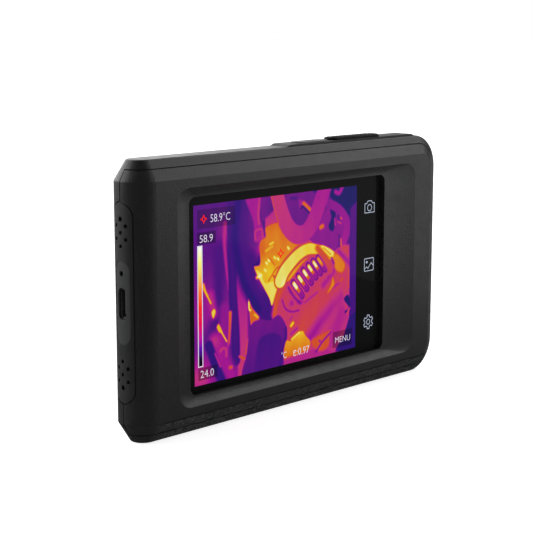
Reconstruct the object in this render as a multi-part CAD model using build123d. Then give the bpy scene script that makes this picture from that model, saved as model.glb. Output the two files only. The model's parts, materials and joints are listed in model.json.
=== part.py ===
from build123d import *
import math
import os

# Pocket thermal imaging camera, in millimetres.
# +Z is up. The screen faces -Y, the lens faces +Y and the connector end is at -X.
# The origin is the bottom centre of the whole object's box.

# ---------------------------------------------------------------- casing
BODY_LENGTH = 138.2
BODY_HEIGHT = 83.0
BODY_DEPTH = 14.73
OVERALL_DEPTH = 24.1
WALL = 2.0
CHAMFER_RISE = 6.0
CHAMFER_IN = 3.54
CORNER_R = 11.0
FACE_CORNER_R = 5.0
BREAK_EDGE_R = 0.5
RIM_R = 0.8

SCREEN_Y = -OVERALL_DEPTH / 2
LENS_TIP_Y = OVERALL_DEPTH / 2
BACK_Y = SCREEN_Y + BODY_DEPTH
MID_Y = (SCREEN_Y + BACK_Y) / 2
LEFT_X = -BODY_LENGTH / 2
RIGHT_X = BODY_LENGTH / 2
END_R = BODY_DEPTH / 2
END_X = LEFT_X + END_R
SLANT = math.hypot(CHAMFER_RISE, CHAMFER_IN)

# Parting line between the two casing halves, and the fine groove along it.
SEAM_LOW_Z = 2.75
SEAM_HIGH_Z = 80.3
SEAM_RIGHT_X = 66.4
SEAM_CORNER_R = 8.0
SEAM_GROOVE = 0.14
SEAM_GROOVE_DEPTH = 0.45

# ---------------------------------------------------------------- screen side
# Boxes in the plane of the screen are (low x, high x, low z, high z).
RECESS_RIM = (-53.9, 54.5, 8.7, 74.2)
RECESS_RIM_R = 5.0
WINDOW = (-48.4, 39.7, 11.7, 71.2)
WINDOW_R = 2.4
WINDOW_Y = SCREEN_Y + 1.18
RECESS_STEPS = 5
RECESS_POWER = 1.8
GLASS = (-50.4, 41.7, 9.7, 73.2)
GLASS_R = 3.5
GLASS_Y = -9.0
GLASS_T = 1.0
ADHESIVE_T = 0.15
PICTURE = (-45.02, 27.73, 13.72, 68.28)
PANEL_BORDER = 1.6
PANEL_LEDGE = 3.0
PANEL_T = 1.4
BACKLIGHT_T = 1.5
BACKLIGHT_BORDER = 0.8

# ---------------------------------------------------------------- inside
CHASSIS = (-59.5, 63.0, 7.2, 75.7)
CHASSIS_T = 0.8
CHASSIS_Y = GLASS_Y + GLASS_T + PANEL_T + BACKLIGHT_T
STANDOFF_T = 0.9
STANDOFF_R = 2.2
BOARD = (-3.0, 56.5, 11.0, 75.0)
BOARD_T = 1.0
BOARD_Y = CHASSIS_Y + CHASSIS_T + STANDOFF_T
BOARD_FRONT_Y = BOARD_Y + BOARD_T
BOARD_SCREWS = [(2.5, 13.8), (53.0, 13.8), (2.5, 71.8), (53.0, 71.8)]
BOARD_SCREW_R = 0.8
BATTERY = (-50.0, -6.0, 11.0, 68.0)
BATTERY_PAD_T = 0.15
BATTERY_FRONT_Y = BACK_Y - WALL - 0.2
SHIELDS = [(2.0, 21.5, 40.0, 68.0), (2.0, 28.0, 16.5, 37.0)]
SHIELD_H = 1.7
SHIELD_WALL = 0.25
CHIPS = [(5.0, 18.0, 50.0, 63.0), (6.0, 16.0, 42.0, 48.0), (6.0, 22.0, 20.0, 32.0)]
CHIP_H = 1.1
DISPLAY_SLOT = (32.5, 45.0, 30.0, 50.0)
RIBBON_T = 0.2
PANEL_R = 0.3
TRAY_R = 0.8
TRAY_RIM = 0.8
TRAY_PLAY = 0.1
CHASSIS_R = 3.0
BOARD_EDGE_R = 1.5
SHIELD_R = 0.6
CHIP_R = 0.2
PORT_RIBBON_SLOT = (-54.4, -52.6, 30.0, 40.0)
TRIPOD_NOTCH = (-5.5, 5.5, 0.0, 10.4)
SCREW_ROOT = 0.2
BOARD_SCREW_HEAD_R = 1.6
BOARD_SCREW_HEAD_T = 0.8
BOARD_SCREW_NECK = 0.3
DISPLAY_SOCKET_H = 0.8
PORT_SOCKET = (-2.6, 1.4, 65.0, 69.4)
PORT_SOCKET_H = 0.7
SENSOR_PLUG_W = 2.4
SENSOR_PLUG_L = 14.0
SENSOR_PLUG_X = 8.0
BATTERY_R = 2.0
BATTERY_EDGE_R = 0.8
BATTERY_PAD_INSET = 1.5
BATTERY_RIBBON = (1.0, 56.0, 62.0)
ANTENNA_T = 0.4
ANTENNA_W = 5.2
ANTENNA_GAP = 0.2
ANTENNA_Z = (20.0, 60.0)
LEAD_R = 0.5
LEAD_Z = 40.0

# Housing screws join the halves and clamp the chassis plate between them.
HOUSING_SCREWS = [(-56.5, 10.2), (-56.5, 72.8), (60.0, 10.2), (60.0, 72.8)]
REAR_BOSS_R = 2.5
FRONT_POST_R = 3.0
SCREW_R = 1.0
SCREW_HEAD_R = 1.9
SCREW_HEAD_T = 1.2
SCREW_SINK = 1.4
SCREW_LENGTH = 9.0
SCREW_PLAY = 0.02
SCREW_NECK = 0.2
SCREW_CROWN_R = 0.4
CROSS_L = 2.2
CROSS_W = 0.5
CROSS_FLOOR = 0.5

# ---------------------------------------------------------------- lens side
LENS_X = 41.0
LENS_Z = 51.0
ISLAND_X = 35.0
ISLAND_Z = 51.0
ISLAND_W = 54.0
ISLAND_H = 48.0
ISLAND_R = 11.0
ISLAND_TAPER = 4.0
ISLAND_Y = 11.0
ISLAND_EDGE_R = 1.2
ISLAND_ROOF = 2.6
BEZEL_W = 40.0
BEZEL_H = 34.0
BEZEL_R = 6.0
BEZEL_SINK = 1.2
BEZEL_T = 1.1
BEZEL_FLOOR_Y = ISLAND_Y - BEZEL_SINK
BARREL_R = 10.0
BARREL_FLANGE_R = 12.0
BARREL_REAR_Y = 3.2
LENS_R = 8.5
LENS_BACK_Y = 8.0
LENS_FRONT_Y = 10.35
LENS_CROWN_Y = 11.2
LENS_HOLLOW = 0.8
RETAINER_R = 9.3
RETAINER_BORE_R = 7.7
RETAINER_T = 0.8
SEAL_T = 0.3
SMALL_OPTICS_X = 22.0
CAMERA_Z = 57.0
TORCH_Z = 45.0
CAMERA_WINDOW_R = 3.5
CAMERA_BARREL_R = 3.1
TORCH_HEAD_R = 3.0
TORCH_STEM_R = 2.6
FIT_GAP = 0.1
BEZEL_CHAMFER = 0.3
BARREL_CHAMFER = 0.3
BARREL_BORE_INSET = 1.0
FUNNEL_R = (0.4, 1.3)
RETAINER_CONE = 0.5
NOTCH_W = 2.4
NOTCH_H = 1.0
NOTCH_SINK = 0.4
LENS_SEAT_INSET = 1.2
LENS_RIM_GAP = 0.2

SENSOR_BOARD_W = 21.0
SENSOR_BOARD_Y = BOARD_FRONT_Y + 0.8
SENSOR_BOARD_T = 1.0
SENSOR_W = 13.0
SENSOR_T = 2.4
SENSOR_BOARD_R = 1.0
SENSOR_LID_W = 9.0
SENSOR_LID_H = 0.5
SENSOR_LID_R = 0.6
FLAG_ARM = 15.0
FLAG_SWING = 48.0
FLAG_R = 5.8
FLAG_T = 0.3
FLAG_Y = 2.3
FLAG_SHAFT_R = 0.6
FLAG_HUB_R = 1.8
FLAG_MOTOR_R = 2.8
FLAG_X = LENS_X - FLAG_ARM
FLAG_Z = LENS_Z
RUNNING_GAP = 0.05
FLAG_ARM_W = 2.4
SHAFT_END = 0.3
SHAFT_ROOT = 1.6
MOTOR_FLOOR = 1.5
MOTOR_GAP = 0.3
CAMERA_BOARD = (17.0, 27.0, 41.0, 62.0)
CAMERA_BOARD_Y = 3.4
CAMERA_BOARD_T = 0.8
CAMERA_BODY_W = 8.4
CAMERA_BODY_H = 3.2
LED_W = 4.6
LED_H = 0.8
LED_DIE_R = 1.3
LED_DIE_H = 0.4
TORCH_STEM_Y = 5.6
TORCH_PROUD = 0.2
TORCH_EDGE_R = 0.5

GRIP_GROOVES = 10
GRIP_PITCH = 5.2
GRIP_FIRST_X = -54.0
GRIP_LOW_Z = 18.0
GRIP_HIGH_Z = 65.0
GRIP_WIDTH = 1.6
GRIP_DEPTH = 0.5

# ---------------------------------------------------------------- top edge
PAD_LOW_X = -4.8
PAD_HIGH_X = 58.0
PAD_RISE = 0.6
PAD_SINK = 0.4
PAD_HALF_W = 3.7
POWER_X = 9.2
POWER_L = 15.0
POWER_W = 5.2
POWER_TOP_Z = 83.9
POWER_TRAVEL = 0.3
SHUTTER_X = 29.8
SHUTTER_L = 24.6
SHUTTER_W = 6.0
SHUTTER_TOP_Z = 84.5
SHUTTER_TRAVEL = 0.4
SHUTTER_RIDGES = 11
RIDGE_END = 1.25
NOTCH_TOP_W = 1.24
NOTCH_FLOOR_W = 0.4
NOTCH_DEPTH = 0.55
POWER_CROWN_R = 0.25
SHUTTER_CROWN_R = 0.9
MARK_R = 1.45
MARK_LINE = 0.35
MARK_GAP = 1.1
MARK_STROKE = 1.5
MARK_DEPTH = 0.15
PAD_END_SLOPE = 1.5
KEY_HEAD_GAP = 0.12
KEY_STEM_W = 4.6
KEY_STEM_INSET = 1.6
KEY_FLANGE_Z = 79.9
KEY_FLANGE_T = 0.9
KEY_FLANGE_OVER = 1.1
SWITCH_Z = 77.4
SWITCH_H = 1.6
SWITCH_W = 4.0
PLUNGER_R = 1.0
PLUNGER_LOW_Z = 78.4
KEY_FLOOR_GAP = 0.1
SWITCH_DEPTH = 3.8
BUTTON_BOARD_T = 0.8
BUTTON_BOARD_REAR = 2.3
BUTTON_RIB_DEPTH = 4.0
BUTTON_SCREW_REACH = 3.0
BUTTON_SCREW_HEAD = (1.5, 0.7, 0.3)
BUTTON_RIBBON = (20.0, 26.0)
BUTTON_RIBBON_LOW_Z = 70.0
BUTTON_BOARD = (-3.6, 48.6)
BUTTON_RIBS = [(-3.6, 0.6), (45.4, 48.6)]
BUTTON_SCREWS = [-1.5, 47.0]

# ---------------------------------------------------------------- connector end
INSERT_LOW_Z = 12.3
INSERT_HIGH_Z = 71.3
INSERT_W = 8.45
INSERT_T = 1.2
INSERT_GAP = 0.12
INSERT_REBATE_W = 0.3
INSERT_REBATE_DEPTH = 0.35
INSERT_LEDGE_END = 2.0
LEDGE_W = 5.0
PLATE_LOW_Z = 29.9
PLATE_HIGH_Z = 54.1
PLATE_W = 6.0
PLATE_T = 0.6
PLATE_DROP = 0.08
SOUND_BIG_R = 0.75
SOUND_SMALL_R = 0.58
SOUND_OFFSETS = [(0.0, 20.7), (-2.0, 22.7), (2.0, 22.7), (0.0, 16.8), (-2.0, 18.8), (2.0, 18.8)]
SOUND_BIG_OFFSET = 24.6
PORT_Z = 41.9
PORT_HOLE = (9.3, 3.5)
MIC_Z = 50.7
MIC_HOLE_R = 0.8
USB_OUTER = (8.94, 3.26)
USB_INNER = (8.34, 2.66)
USB_FRONT_X = -68.0
USB_DEPTH = 7.4
USB_BACK_T = 1.0
PORT_BOARD = (-65.9, -53.4, 18.0, 54.0)
PORT_BOARD_T = 0.75
PORT_BOARD_R = 0.5
TONGUE_W = 6.7
TONGUE_T = 0.7
TONGUE_SINK = 0.6
MIC_BOX = (-65.4, -61.9)
MIC_W = 2.6
MIC_H = 1.0
SPEAKER_LENGTH = 4.8
SPEAKER_HALF_W = 3.1
SPEAKER_LOW_Z = 56.0
SPEAKER_HIGH_Z = 69.0
SPEAKER_MOUTH = 0.5
SPEAKER_RIM = 0.9
MESH = (11.5, 4.4)
MESH_OFFSET = 20.5
MESH_GAP = 0.02
MESH_T = 0.18
FLEX_T = 0.14
FLEX_X = -52.6
FLEX_W = 2.0
FLEX_TOP_Z = 71.0
FLEX_RUN_H = 2.4
FLEX_TAB_Z = (31.0, 39.0)
FLEX_TAB_T = 0.3
FLEX_TAIL_T = 0.2
FLEX_TAIL_X = -54.4

# ---------------------------------------------------------------- bottom
TRIPOD_BORE_R = 2.55
TRIPOD_INSERT_R = 3.6
TRIPOD_LENGTH = 8.5
TRIPOD_SINK = 0.2
TRIPOD_BOSS_R = 4.4
TRIPOD_BOSS_TOP_Z = 9.4
TRIPOD_X = 0.0
TRIPOD_LEAD_IN = 0.5

EPS = 0.01
FAR = 100.0


# ---------------------------------------------------------------- helpers
def screen_plane(x, y, z):
    """Plane parallel to the screen, seen from the screen side: local x is +X and local y is +Z."""
    return Plane(origin=(x, y, z), x_dir=(1, 0, 0), z_dir=(0, -1, 0))


def prism(sketch, x, z, y_low, y_high):
    """Extrudes a sketch, centred at (x, z), from y_low to y_high."""
    return extrude(screen_plane(x, y_high, z) * sketch, y_high - y_low)


def drum(x, z, radius, y_low, y_high):
    return prism(Circle(radius), x, z, y_low, y_high)


def slab(box, radius, y_low, y_high, grow=0.0):
    """Rounded plate over a (low x, high x, low z, high z) box."""
    x_low, x_high, z_low, z_high = box
    outline = RectangleRounded(x_high - x_low + 2 * grow, z_high - z_low + 2 * grow, radius + grow)
    return prism(outline, (x_low + x_high) / 2, (z_low + z_high) / 2, y_low, y_high)


def block(x_low, x_high, y_low, y_high, z_low, z_high):
    size = (x_high - x_low, y_high - y_low, z_high - z_low)
    centre = ((x_low + x_high) / 2, (y_low + y_high) / 2, (z_low + z_high) / 2)
    return Pos(*centre) * Box(*size)


def upright(sketch, x, y, z_low, z_high):
    """Extrudes a sketch, centred at (x, y), from z_low to z_high."""
    return extrude(Pos(x, y, z_low) * sketch, z_high - z_low)


def end_prism(sketch, z, x_low, x_high, y=MID_Y):
    """Extrudes a sketch along X: its local x is along Z, and its local y is across the body."""
    plane = Plane(origin=(x_low, y, z), x_dir=(0, 0, 1), z_dir=(1, 0, 0))
    return extrude(plane * sketch, x_high - x_low)


def lens_turned(points, x=LENS_X, z=LENS_Z):
    """Revolves a closed (radius, y) outline about the Y line through (x, z)."""
    plane = Plane(origin=(x, 0, z), x_dir=(1, 0, 0), z_dir=(0, 0, 1))
    return revolve(plane * make_face(Polyline(*points, close=True)), Axis((x, 0, z), (0, 1, 0)))


# ---------------------------------------------------------------- casing shape
def right_rounded(x_high, z_low, z_high, radius, y):
    """Flat outline from the end centre to x_high, with only its right corners rounded."""
    outline = Rectangle(x_high - END_X, z_high - z_low)
    outline = fillet(outline.vertices().group_by(Axis.X)[-1], radius)
    return screen_plane((END_X + x_high) / 2, y, (z_low + z_high) / 2) * outline


def casing_solid(inset=0.0):
    """The body's closed shape with every face moved inwards by inset."""
    half = BODY_DEPTH / 2 - inset
    rim_half = BODY_DEPTH / 2 - CHAMFER_IN - inset * (SLANT - CHAMFER_IN) / CHAMFER_RISE
    break_in = CHAMFER_RISE + inset * (SLANT - CHAMFER_RISE) / CHAMFER_IN
    rim_r = CORNER_R - inset
    face_r = FACE_CORNER_R - break_in + CHAMFER_RISE

    def face(y):
        return right_rounded(RIGHT_X - break_in, break_in, BODY_HEIGHT - break_in, face_r, y)

    def rim(y):
        return right_rounded(RIGHT_X - inset, inset, BODY_HEIGHT - inset, rim_r, y)

    screen_bevel = loft([face(MID_Y - half), rim(MID_Y - rim_half)], ruled=True)
    lens_bevel = loft([rim(MID_Y + rim_half), face(MID_Y + half)], ruled=True)
    middle = extrude(rim(MID_Y + rim_half), 2 * rim_half)
    profile = Polyline(
        (0, inset),
        (rim_half, inset),
        (half, break_in),
        (half, BODY_HEIGHT - break_in),
        (rim_half, BODY_HEIGHT - inset),
        (0, BODY_HEIGHT - inset),
        close=True,
    )
    end_plane = Plane(origin=(END_X, MID_Y, 0), x_dir=(0, 1, 0), z_dir=(1, 0, 0))
    round_end = revolve(end_plane * make_face(profile), Axis((END_X, MID_Y, 0), (0, 0, 1)), 180)
    return screen_bevel + middle + lens_bevel + round_end


def soften(body):
    """Rounds the casing's long edges: first along the two large faces, then round the narrow rim."""
    body = fillet([edge for edge in body.edges() if on_face_break(edge @ 0.5)], BREAK_EDGE_R)
    return fillet([edge for edge in body.edges() if on_rim(edge @ 0.5)], RIM_R)


def on_face_break(point):
    return abs(abs(point.Y - MID_Y) - BODY_DEPTH / 2) < EPS and point.X > END_X + EPS


def on_rim(point):
    at_flat = min(abs(point.Z), abs(point.Z - BODY_HEIGHT)) < EPS
    return abs(abs(point.Y - MID_Y) - BODY_DEPTH / 2 + CHAMFER_IN) < EPS or (at_flat and point.X < END_X)


def seam_cutter(grow=0.0):
    """The space that belongs to the rear shell."""
    width = SEAM_RIGHT_X + grow + FAR
    height = SEAM_HIGH_Z - SEAM_LOW_Z + 2 * grow
    outline = Rectangle(width, height)
    outline = fillet(outline.vertices().group_by(Axis.X)[-1], SEAM_CORNER_R + grow)
    centre_x = SEAM_RIGHT_X + grow - width / 2
    return prism(outline, centre_x, (SEAM_LOW_Z + SEAM_HIGH_Z) / 2, SCREEN_Y - 5, MID_Y + grow)


def seam_groove(outer):
    skin = outer - casing_solid(SEAM_GROOVE_DEPTH)
    return (seam_cutter(SEAM_GROOVE) - seam_cutter(-SEAM_GROOVE)) & skin


def end_slot(length, width, centre_z):
    return end_prism(SlotOverall(length, width), centre_z, LEFT_X - 5, END_X)


INSERT_Z = (INSERT_LOW_Z + INSERT_HIGH_Z) / 2
INSERT_L = INSERT_HIGH_Z - INSERT_LOW_Z
PLATE_Z = (PLATE_LOW_Z + PLATE_HIGH_Z) / 2
PLATE_L = PLATE_HIGH_Z - PLATE_LOW_Z


def insert_pocket():
    """Shallow pocket round the connector end, with a window through to the inside."""
    pocket = end_slot(INSERT_L + 2 * INSERT_GAP, INSERT_W + 2 * INSERT_GAP, INSERT_Z)
    pocket -= casing_solid(INSERT_T + INSERT_GAP)
    window = end_slot(INSERT_L - 2 * INSERT_LEDGE_END, LEDGE_W, INSERT_Z)
    return pocket + window


def recess_solid():
    """Shallow dish from the recess rim to the window: steepest at the rim and flat at the window."""
    sections = []
    for step in range(RECESS_STEPS):
        share = step / (RECESS_STEPS - 1)
        depth = (WINDOW_Y - SCREEN_Y) * (1 - (1 - share) ** RECESS_POWER)
        box = [rim + (window - rim) * share for rim, window in zip(RECESS_RIM, WINDOW)]
        radius = RECESS_RIM_R + (WINDOW_R - RECESS_RIM_R) * share
        outline = RectangleRounded(box[1] - box[0], box[3] - box[2], radius)
        centre = screen_plane((box[0] + box[1]) / 2, SCREEN_Y + depth, (box[2] + box[3]) / 2)
        sections.append(centre * outline)
    dish = loft(sections)
    return dish + slab(RECESS_RIM, RECESS_RIM_R, SCREEN_Y - 2, SCREEN_Y)


def rear_shell(outer, cavity, groove, pocket):
    shell = (outer - cavity) & seam_cutter()
    pad_y = GLASS_Y - ADHESIVE_T
    shell += slab(RECESS_RIM, RECESS_RIM_R, SCREEN_Y + WALL / 2, pad_y)
    for x, z in HOUSING_SCREWS:
        shell += drum(x, z, REAR_BOSS_R, SCREEN_Y + WALL / 2, CHASSIS_Y)
    for x, z in HOUSING_SCREWS:
        shell -= drum(x, z, SCREW_R + SCREW_PLAY, SCREEN_Y + WALL, CHASSIS_Y)
    shell -= recess_solid()
    shell -= slab(WINDOW, WINDOW_R, SCREEN_Y, GLASS_Y)
    shell -= upright(Circle(TRIPOD_BOSS_R + INSERT_GAP), TRIPOD_X, MID_Y, 0, TRIPOD_BOSS_TOP_Z + 1)
    return shell - pocket - groove


def island_loft(inset, y_high):
    """The raised lens housing, tapering towards the lens side."""
    y_low = BACK_Y - WALL
    taper = ISLAND_TAPER / (ISLAND_Y - BACK_Y)
    sections = []
    for y in (y_low, y_high):
        shrink = 2 * inset + 2 * taper * (y - BACK_Y)
        radius = ISLAND_R - inset - taper * (y - BACK_Y)
        outline = RectangleRounded(ISLAND_W - shrink, ISLAND_H - shrink, radius)
        sections.append(screen_plane(ISLAND_X, y, ISLAND_Z) * outline)
    return loft(sections, ruled=True)


def front_shell(outer, cavity, groove, pocket):
    island = island_loft(0, ISLAND_Y)
    island = fillet(island.edges().group_by(Axis.Y)[-1], ISLAND_EDGE_R)
    shell = (outer - cavity) - seam_cutter()
    shell += island
    shell -= island_loft(WALL, ISLAND_Y - ISLAND_ROOF)
    for x, z in HOUSING_SCREWS:
        shell += drum(x, z, FRONT_POST_R, CHASSIS_Y + CHASSIS_T, BACK_Y - WALL / 2)
    for x, z in HOUSING_SCREWS:
        shell -= drum(x, z, SCREW_R + FIT_GAP, CHASSIS_Y + CHASSIS_T, BACK_Y)
        shell -= drum(x, z, SCREW_HEAD_R + FIT_GAP, BACK_Y - SCREW_SINK, BACK_Y + 1)
    shell += upright(Circle(TRIPOD_BOSS_R), TRIPOD_X, MID_Y, WALL / 2, TRIPOD_BOSS_TOP_Z)
    shell -= upright(Circle(TRIPOD_INSERT_R), TRIPOD_X, MID_Y, -1, TRIPOD_SINK + TRIPOD_LENGTH)
    for x_low, x_high in BUTTON_RIBS:
        rib = Rectangle(x_high - x_low, BUTTON_RIB_DEPTH)
        shell += upright(rib, (x_low + x_high) / 2, MID_Y, SWITCH_Z, BODY_HEIGHT - WALL / 2)
    for x in BUTTON_SCREWS:
        hole = Circle(BOARD_SCREW_R + SCREW_PLAY)
        shell -= upright(hole, x, MID_Y, SWITCH_Z, SWITCH_Z + BUTTON_SCREW_REACH)
    shell -= pad_solid(INSERT_GAP / 2)
    shell -= key_stem_hole(POWER_X, POWER_L)
    shell -= key_stem_hole(SHUTTER_X, SHUTTER_L)
    bezel = RectangleRounded(BEZEL_W + 2 * FIT_GAP, BEZEL_H + 2 * FIT_GAP, BEZEL_R)
    shell -= prism(bezel, ISLAND_X, ISLAND_Z, BEZEL_FLOOR_Y, ISLAND_Y + 1)
    shell -= drum(LENS_X, LENS_Z, BARREL_R + FIT_GAP, 0, ISLAND_Y)
    shell -= drum(SMALL_OPTICS_X, CAMERA_Z, CAMERA_BARREL_R + FIT_GAP, 0, ISLAND_Y)
    shell -= drum(SMALL_OPTICS_X, TORCH_Z, TORCH_STEM_R + FIT_GAP, 0, ISLAND_Y)
    for index in range(GRIP_GROOVES):
        groove_x = GRIP_FIRST_X + index * GRIP_PITCH
        height = GRIP_HIGH_Z - GRIP_LOW_Z
        slot = Rot(0, 0, 90) * SlotOverall(height, GRIP_WIDTH)
        shell -= prism(slot, groove_x, (GRIP_LOW_Z + GRIP_HIGH_Z) / 2, BACK_Y - GRIP_DEPTH, BACK_Y + 1)
    return shell - pocket - groove


# ---------------------------------------------------------------- top edge
def pad_solid(grow=0.0):
    """Raised strip along the top edge, sunk a little into the shell, with sloped ends."""
    low = BODY_HEIGHT - PAD_SINK
    high = BODY_HEIGHT + PAD_RISE + grow
    outline = Polyline(
        (PAD_LOW_X - grow, low - grow / 2),
        (PAD_HIGH_X + grow, low - grow / 2),
        (PAD_HIGH_X + grow, BODY_HEIGHT),
        (PAD_HIGH_X - PAD_END_SLOPE, high),
        (PAD_LOW_X + PAD_END_SLOPE, high),
        (PAD_LOW_X - grow, BODY_HEIGHT),
        close=True,
    )
    width = 2 * (PAD_HALF_W + grow)
    return extrude(screen_plane(0, MID_Y + width / 2, 0) * make_face(outline), width)


def key_stem_hole(x, length):
    stem_l = length - 2 * KEY_STEM_INSET + 2 * KEY_HEAD_GAP
    outline = SlotOverall(stem_l, KEY_STEM_W + 2 * KEY_HEAD_GAP)
    return upright(outline, x, MID_Y, BODY_HEIGHT - WALL - 1, BODY_HEIGHT)


def key_head_hole(x, length, width):
    outline = SlotOverall(length + 2 * KEY_HEAD_GAP, width + 2 * KEY_HEAD_GAP)
    return upright(outline, x, MID_Y, BODY_HEIGHT - 2, BODY_HEIGHT + 2)


def button_pad():
    pad = pad_solid()
    pad -= key_head_hole(POWER_X, POWER_L, POWER_W)
    pad -= key_head_hole(SHUTTER_X, SHUTTER_L, SHUTTER_W)
    return pad


def key_body(x, length, width, top_z, travel, crown_r):
    """Head, stem and retaining flange of a push key."""
    head_low = BODY_HEIGHT - PAD_SINK + travel + KEY_FLOOR_GAP
    head = upright(SlotOverall(length, width), x, MID_Y, head_low, top_z)
    head = fillet(head.edges().group_by(Axis.Z)[-1], crown_r)
    stem_l = length - 2 * KEY_STEM_INSET
    stem = upright(SlotOverall(stem_l, KEY_STEM_W), x, MID_Y, KEY_FLANGE_Z, head_low + EPS)
    flange = block(
        x - stem_l / 2 - KEY_FLANGE_OVER,
        x + stem_l / 2 + KEY_FLANGE_OVER,
        MID_Y - KEY_STEM_W / 2,
        MID_Y + KEY_STEM_W / 2,
        KEY_FLANGE_Z,
        KEY_FLANGE_Z + KEY_FLANGE_T,
    )
    return head + stem + flange


def power_button():
    """Flat key with a sunken ring-and-stroke mark."""
    key = key_body(POWER_X, POWER_L, POWER_W, POWER_TOP_Z, POWER_TRAVEL, POWER_CROWN_R)
    ring = Circle(MARK_R) - Circle(MARK_R - MARK_LINE) - Pos(0, MARK_R) * Rectangle(MARK_GAP, MARK_R)
    stroke = Pos(0, MARK_STROKE * 0.75) * Rectangle(MARK_LINE, MARK_STROKE)
    mark = upright(ring + stroke, POWER_X, MID_Y, POWER_TOP_Z - MARK_DEPTH, POWER_TOP_Z + 1)
    return key - mark


def shutter_button():
    """Long rounded key with notches across its crown."""
    key = key_body(SHUTTER_X, SHUTTER_L, SHUTTER_W, SHUTTER_TOP_Z, SHUTTER_TRAVEL, SHUTTER_CROWN_R)
    pitch = (SHUTTER_L - 2 * RIDGE_END) / SHUTTER_RIDGES
    top = NOTCH_TOP_W / 2
    floor = NOTCH_FLOOR_W / 2
    notch = Polyline((-top, 0.1), (top, 0.1), (floor, -NOTCH_DEPTH), (-floor, -NOTCH_DEPTH), close=True)
    for index in range(SHUTTER_RIDGES):
        x = SHUTTER_X + (index - (SHUTTER_RIDGES - 1) / 2) * pitch
        plane = screen_plane(x, MID_Y + SHUTTER_W, SHUTTER_TOP_Z)
        key -= extrude(plane * make_face(notch), 2 * SHUTTER_W)
    return key


def plunger(x):
    return upright(Circle(PLUNGER_R), x, MID_Y, PLUNGER_LOW_Z, KEY_FLANGE_Z)


def switch_body(x):
    body = upright(Rectangle(SWITCH_W, SWITCH_DEPTH), x, MID_Y, SWITCH_Z, SWITCH_Z + SWITCH_H)
    well_low = PLUNGER_LOW_Z - SHUTTER_TRAVEL - RUNNING_GAP
    return body - upright(Circle(PLUNGER_R + RUNNING_GAP), x, MID_Y, well_low, SWITCH_Z + SWITCH_H)


def button_board():
    x_low, x_high = BUTTON_BOARD
    low = SWITCH_Z - BUTTON_BOARD_T
    board = block(x_low, x_high, MID_Y - BUTTON_BOARD_REAR, BOARD_FRONT_Y, low, SWITCH_Z)
    for x in BUTTON_SCREWS:
        board -= upright(Circle(BOARD_SCREW_R + FIT_GAP), x, MID_Y, low, SWITCH_Z)
    return board


def button_screw(x):
    head_r, head_t, root = BUTTON_SCREW_HEAD
    low = SWITCH_Z - BUTTON_BOARD_T
    shank = upright(Circle(BOARD_SCREW_R), x, MID_Y, low - root, low + BUTTON_SCREW_REACH)
    return shank + upright(Circle(head_r), x, MID_Y, low - head_t, low)


def button_flex():
    x_low, x_high = BUTTON_RIBBON
    y_high = BOARD_FRONT_Y + RIBBON_T
    return block(x_low, x_high, BOARD_FRONT_Y, y_high, BUTTON_RIBBON_LOW_Z, SWITCH_Z)


# ---------------------------------------------------------------- screen stack
def glass_adhesive():
    y_low = GLASS_Y - ADHESIVE_T
    frame = slab(GLASS, GLASS_R, y_low, GLASS_Y, grow=-FIT_GAP)
    return frame - slab(WINDOW, WINDOW_R, y_low, GLASS_Y, grow=0.3)


def panel_box(grow):
    x_low, x_high, z_low, z_high = PICTURE
    return (
        x_low - PANEL_BORDER - grow,
        x_high + PANEL_LEDGE + grow,
        z_low - PANEL_BORDER - grow,
        z_high + PANEL_BORDER + grow,
    )


def lcd_panel():
    front = GLASS_Y + GLASS_T
    return slab(panel_box(0), PANEL_R, front, front + PANEL_T)


def lcd_backlight():
    low = GLASS_Y + GLASS_T + PANEL_T
    tray = slab(panel_box(BACKLIGHT_BORDER), TRAY_R, low, CHASSIS_Y)
    rim = slab(panel_box(BACKLIGHT_BORDER), TRAY_R, low - TRAY_RIM, low)
    return tray + (rim - slab(panel_box(TRAY_PLAY), PANEL_R, low - TRAY_RIM, low))


def display_flex():
    """Folded ribbon from the panel's ledge, through the chassis, to the rear of the main board."""
    x_start = panel_box(BACKLIGHT_BORDER)[1]
    lower_y = CHASSIS_Y - 0.6
    upper_y = BOARD_Y - 0.5
    fold_x = x_start + 3.0
    z_low = DISPLAY_SLOT[2] + 2
    z_high = DISPLAY_SLOT[3] - 2
    lower = block(x_start, fold_x + RIBBON_T, lower_y, lower_y + RIBBON_T, z_low, z_high)
    riser = block(fold_x, fold_x + RIBBON_T, lower_y, upper_y, z_low, z_high)
    upper = block(fold_x, DISPLAY_SLOT[1] - 5, upper_y - RIBBON_T, upper_y, z_low, z_high)
    return lower + riser + upper


# ---------------------------------------------------------------- chassis and boards
def chassis_plate():
    plate = slab(CHASSIS, CHASSIS_R, CHASSIS_Y, CHASSIS_Y + CHASSIS_T)
    for x, z in HOUSING_SCREWS:
        plate -= drum(x, z, SCREW_R + FIT_GAP, CHASSIS_Y, CHASSIS_Y + CHASSIS_T)
    for x, z in BOARD_SCREWS:
        plate += drum(x, z, STANDOFF_R, CHASSIS_Y, BOARD_Y)
        plate -= drum(x, z, BOARD_SCREW_R + SCREW_PLAY, CHASSIS_Y, BOARD_Y)
    plate -= slab(DISPLAY_SLOT, 1.0, CHASSIS_Y, CHASSIS_Y + CHASSIS_T)
    for x_low, x_high, z_low, z_high in (PORT_RIBBON_SLOT, TRIPOD_NOTCH):
        plate -= block(x_low, x_high, CHASSIS_Y, CHASSIS_Y + CHASSIS_T, z_low, z_high)
    return plate


def main_board():
    board = slab(BOARD, BOARD_EDGE_R, BOARD_Y, BOARD_FRONT_Y)
    for x, z in BOARD_SCREWS:
        board -= drum(x, z, BOARD_SCREW_R + FIT_GAP, BOARD_Y, BOARD_FRONT_Y)
    return board


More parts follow.
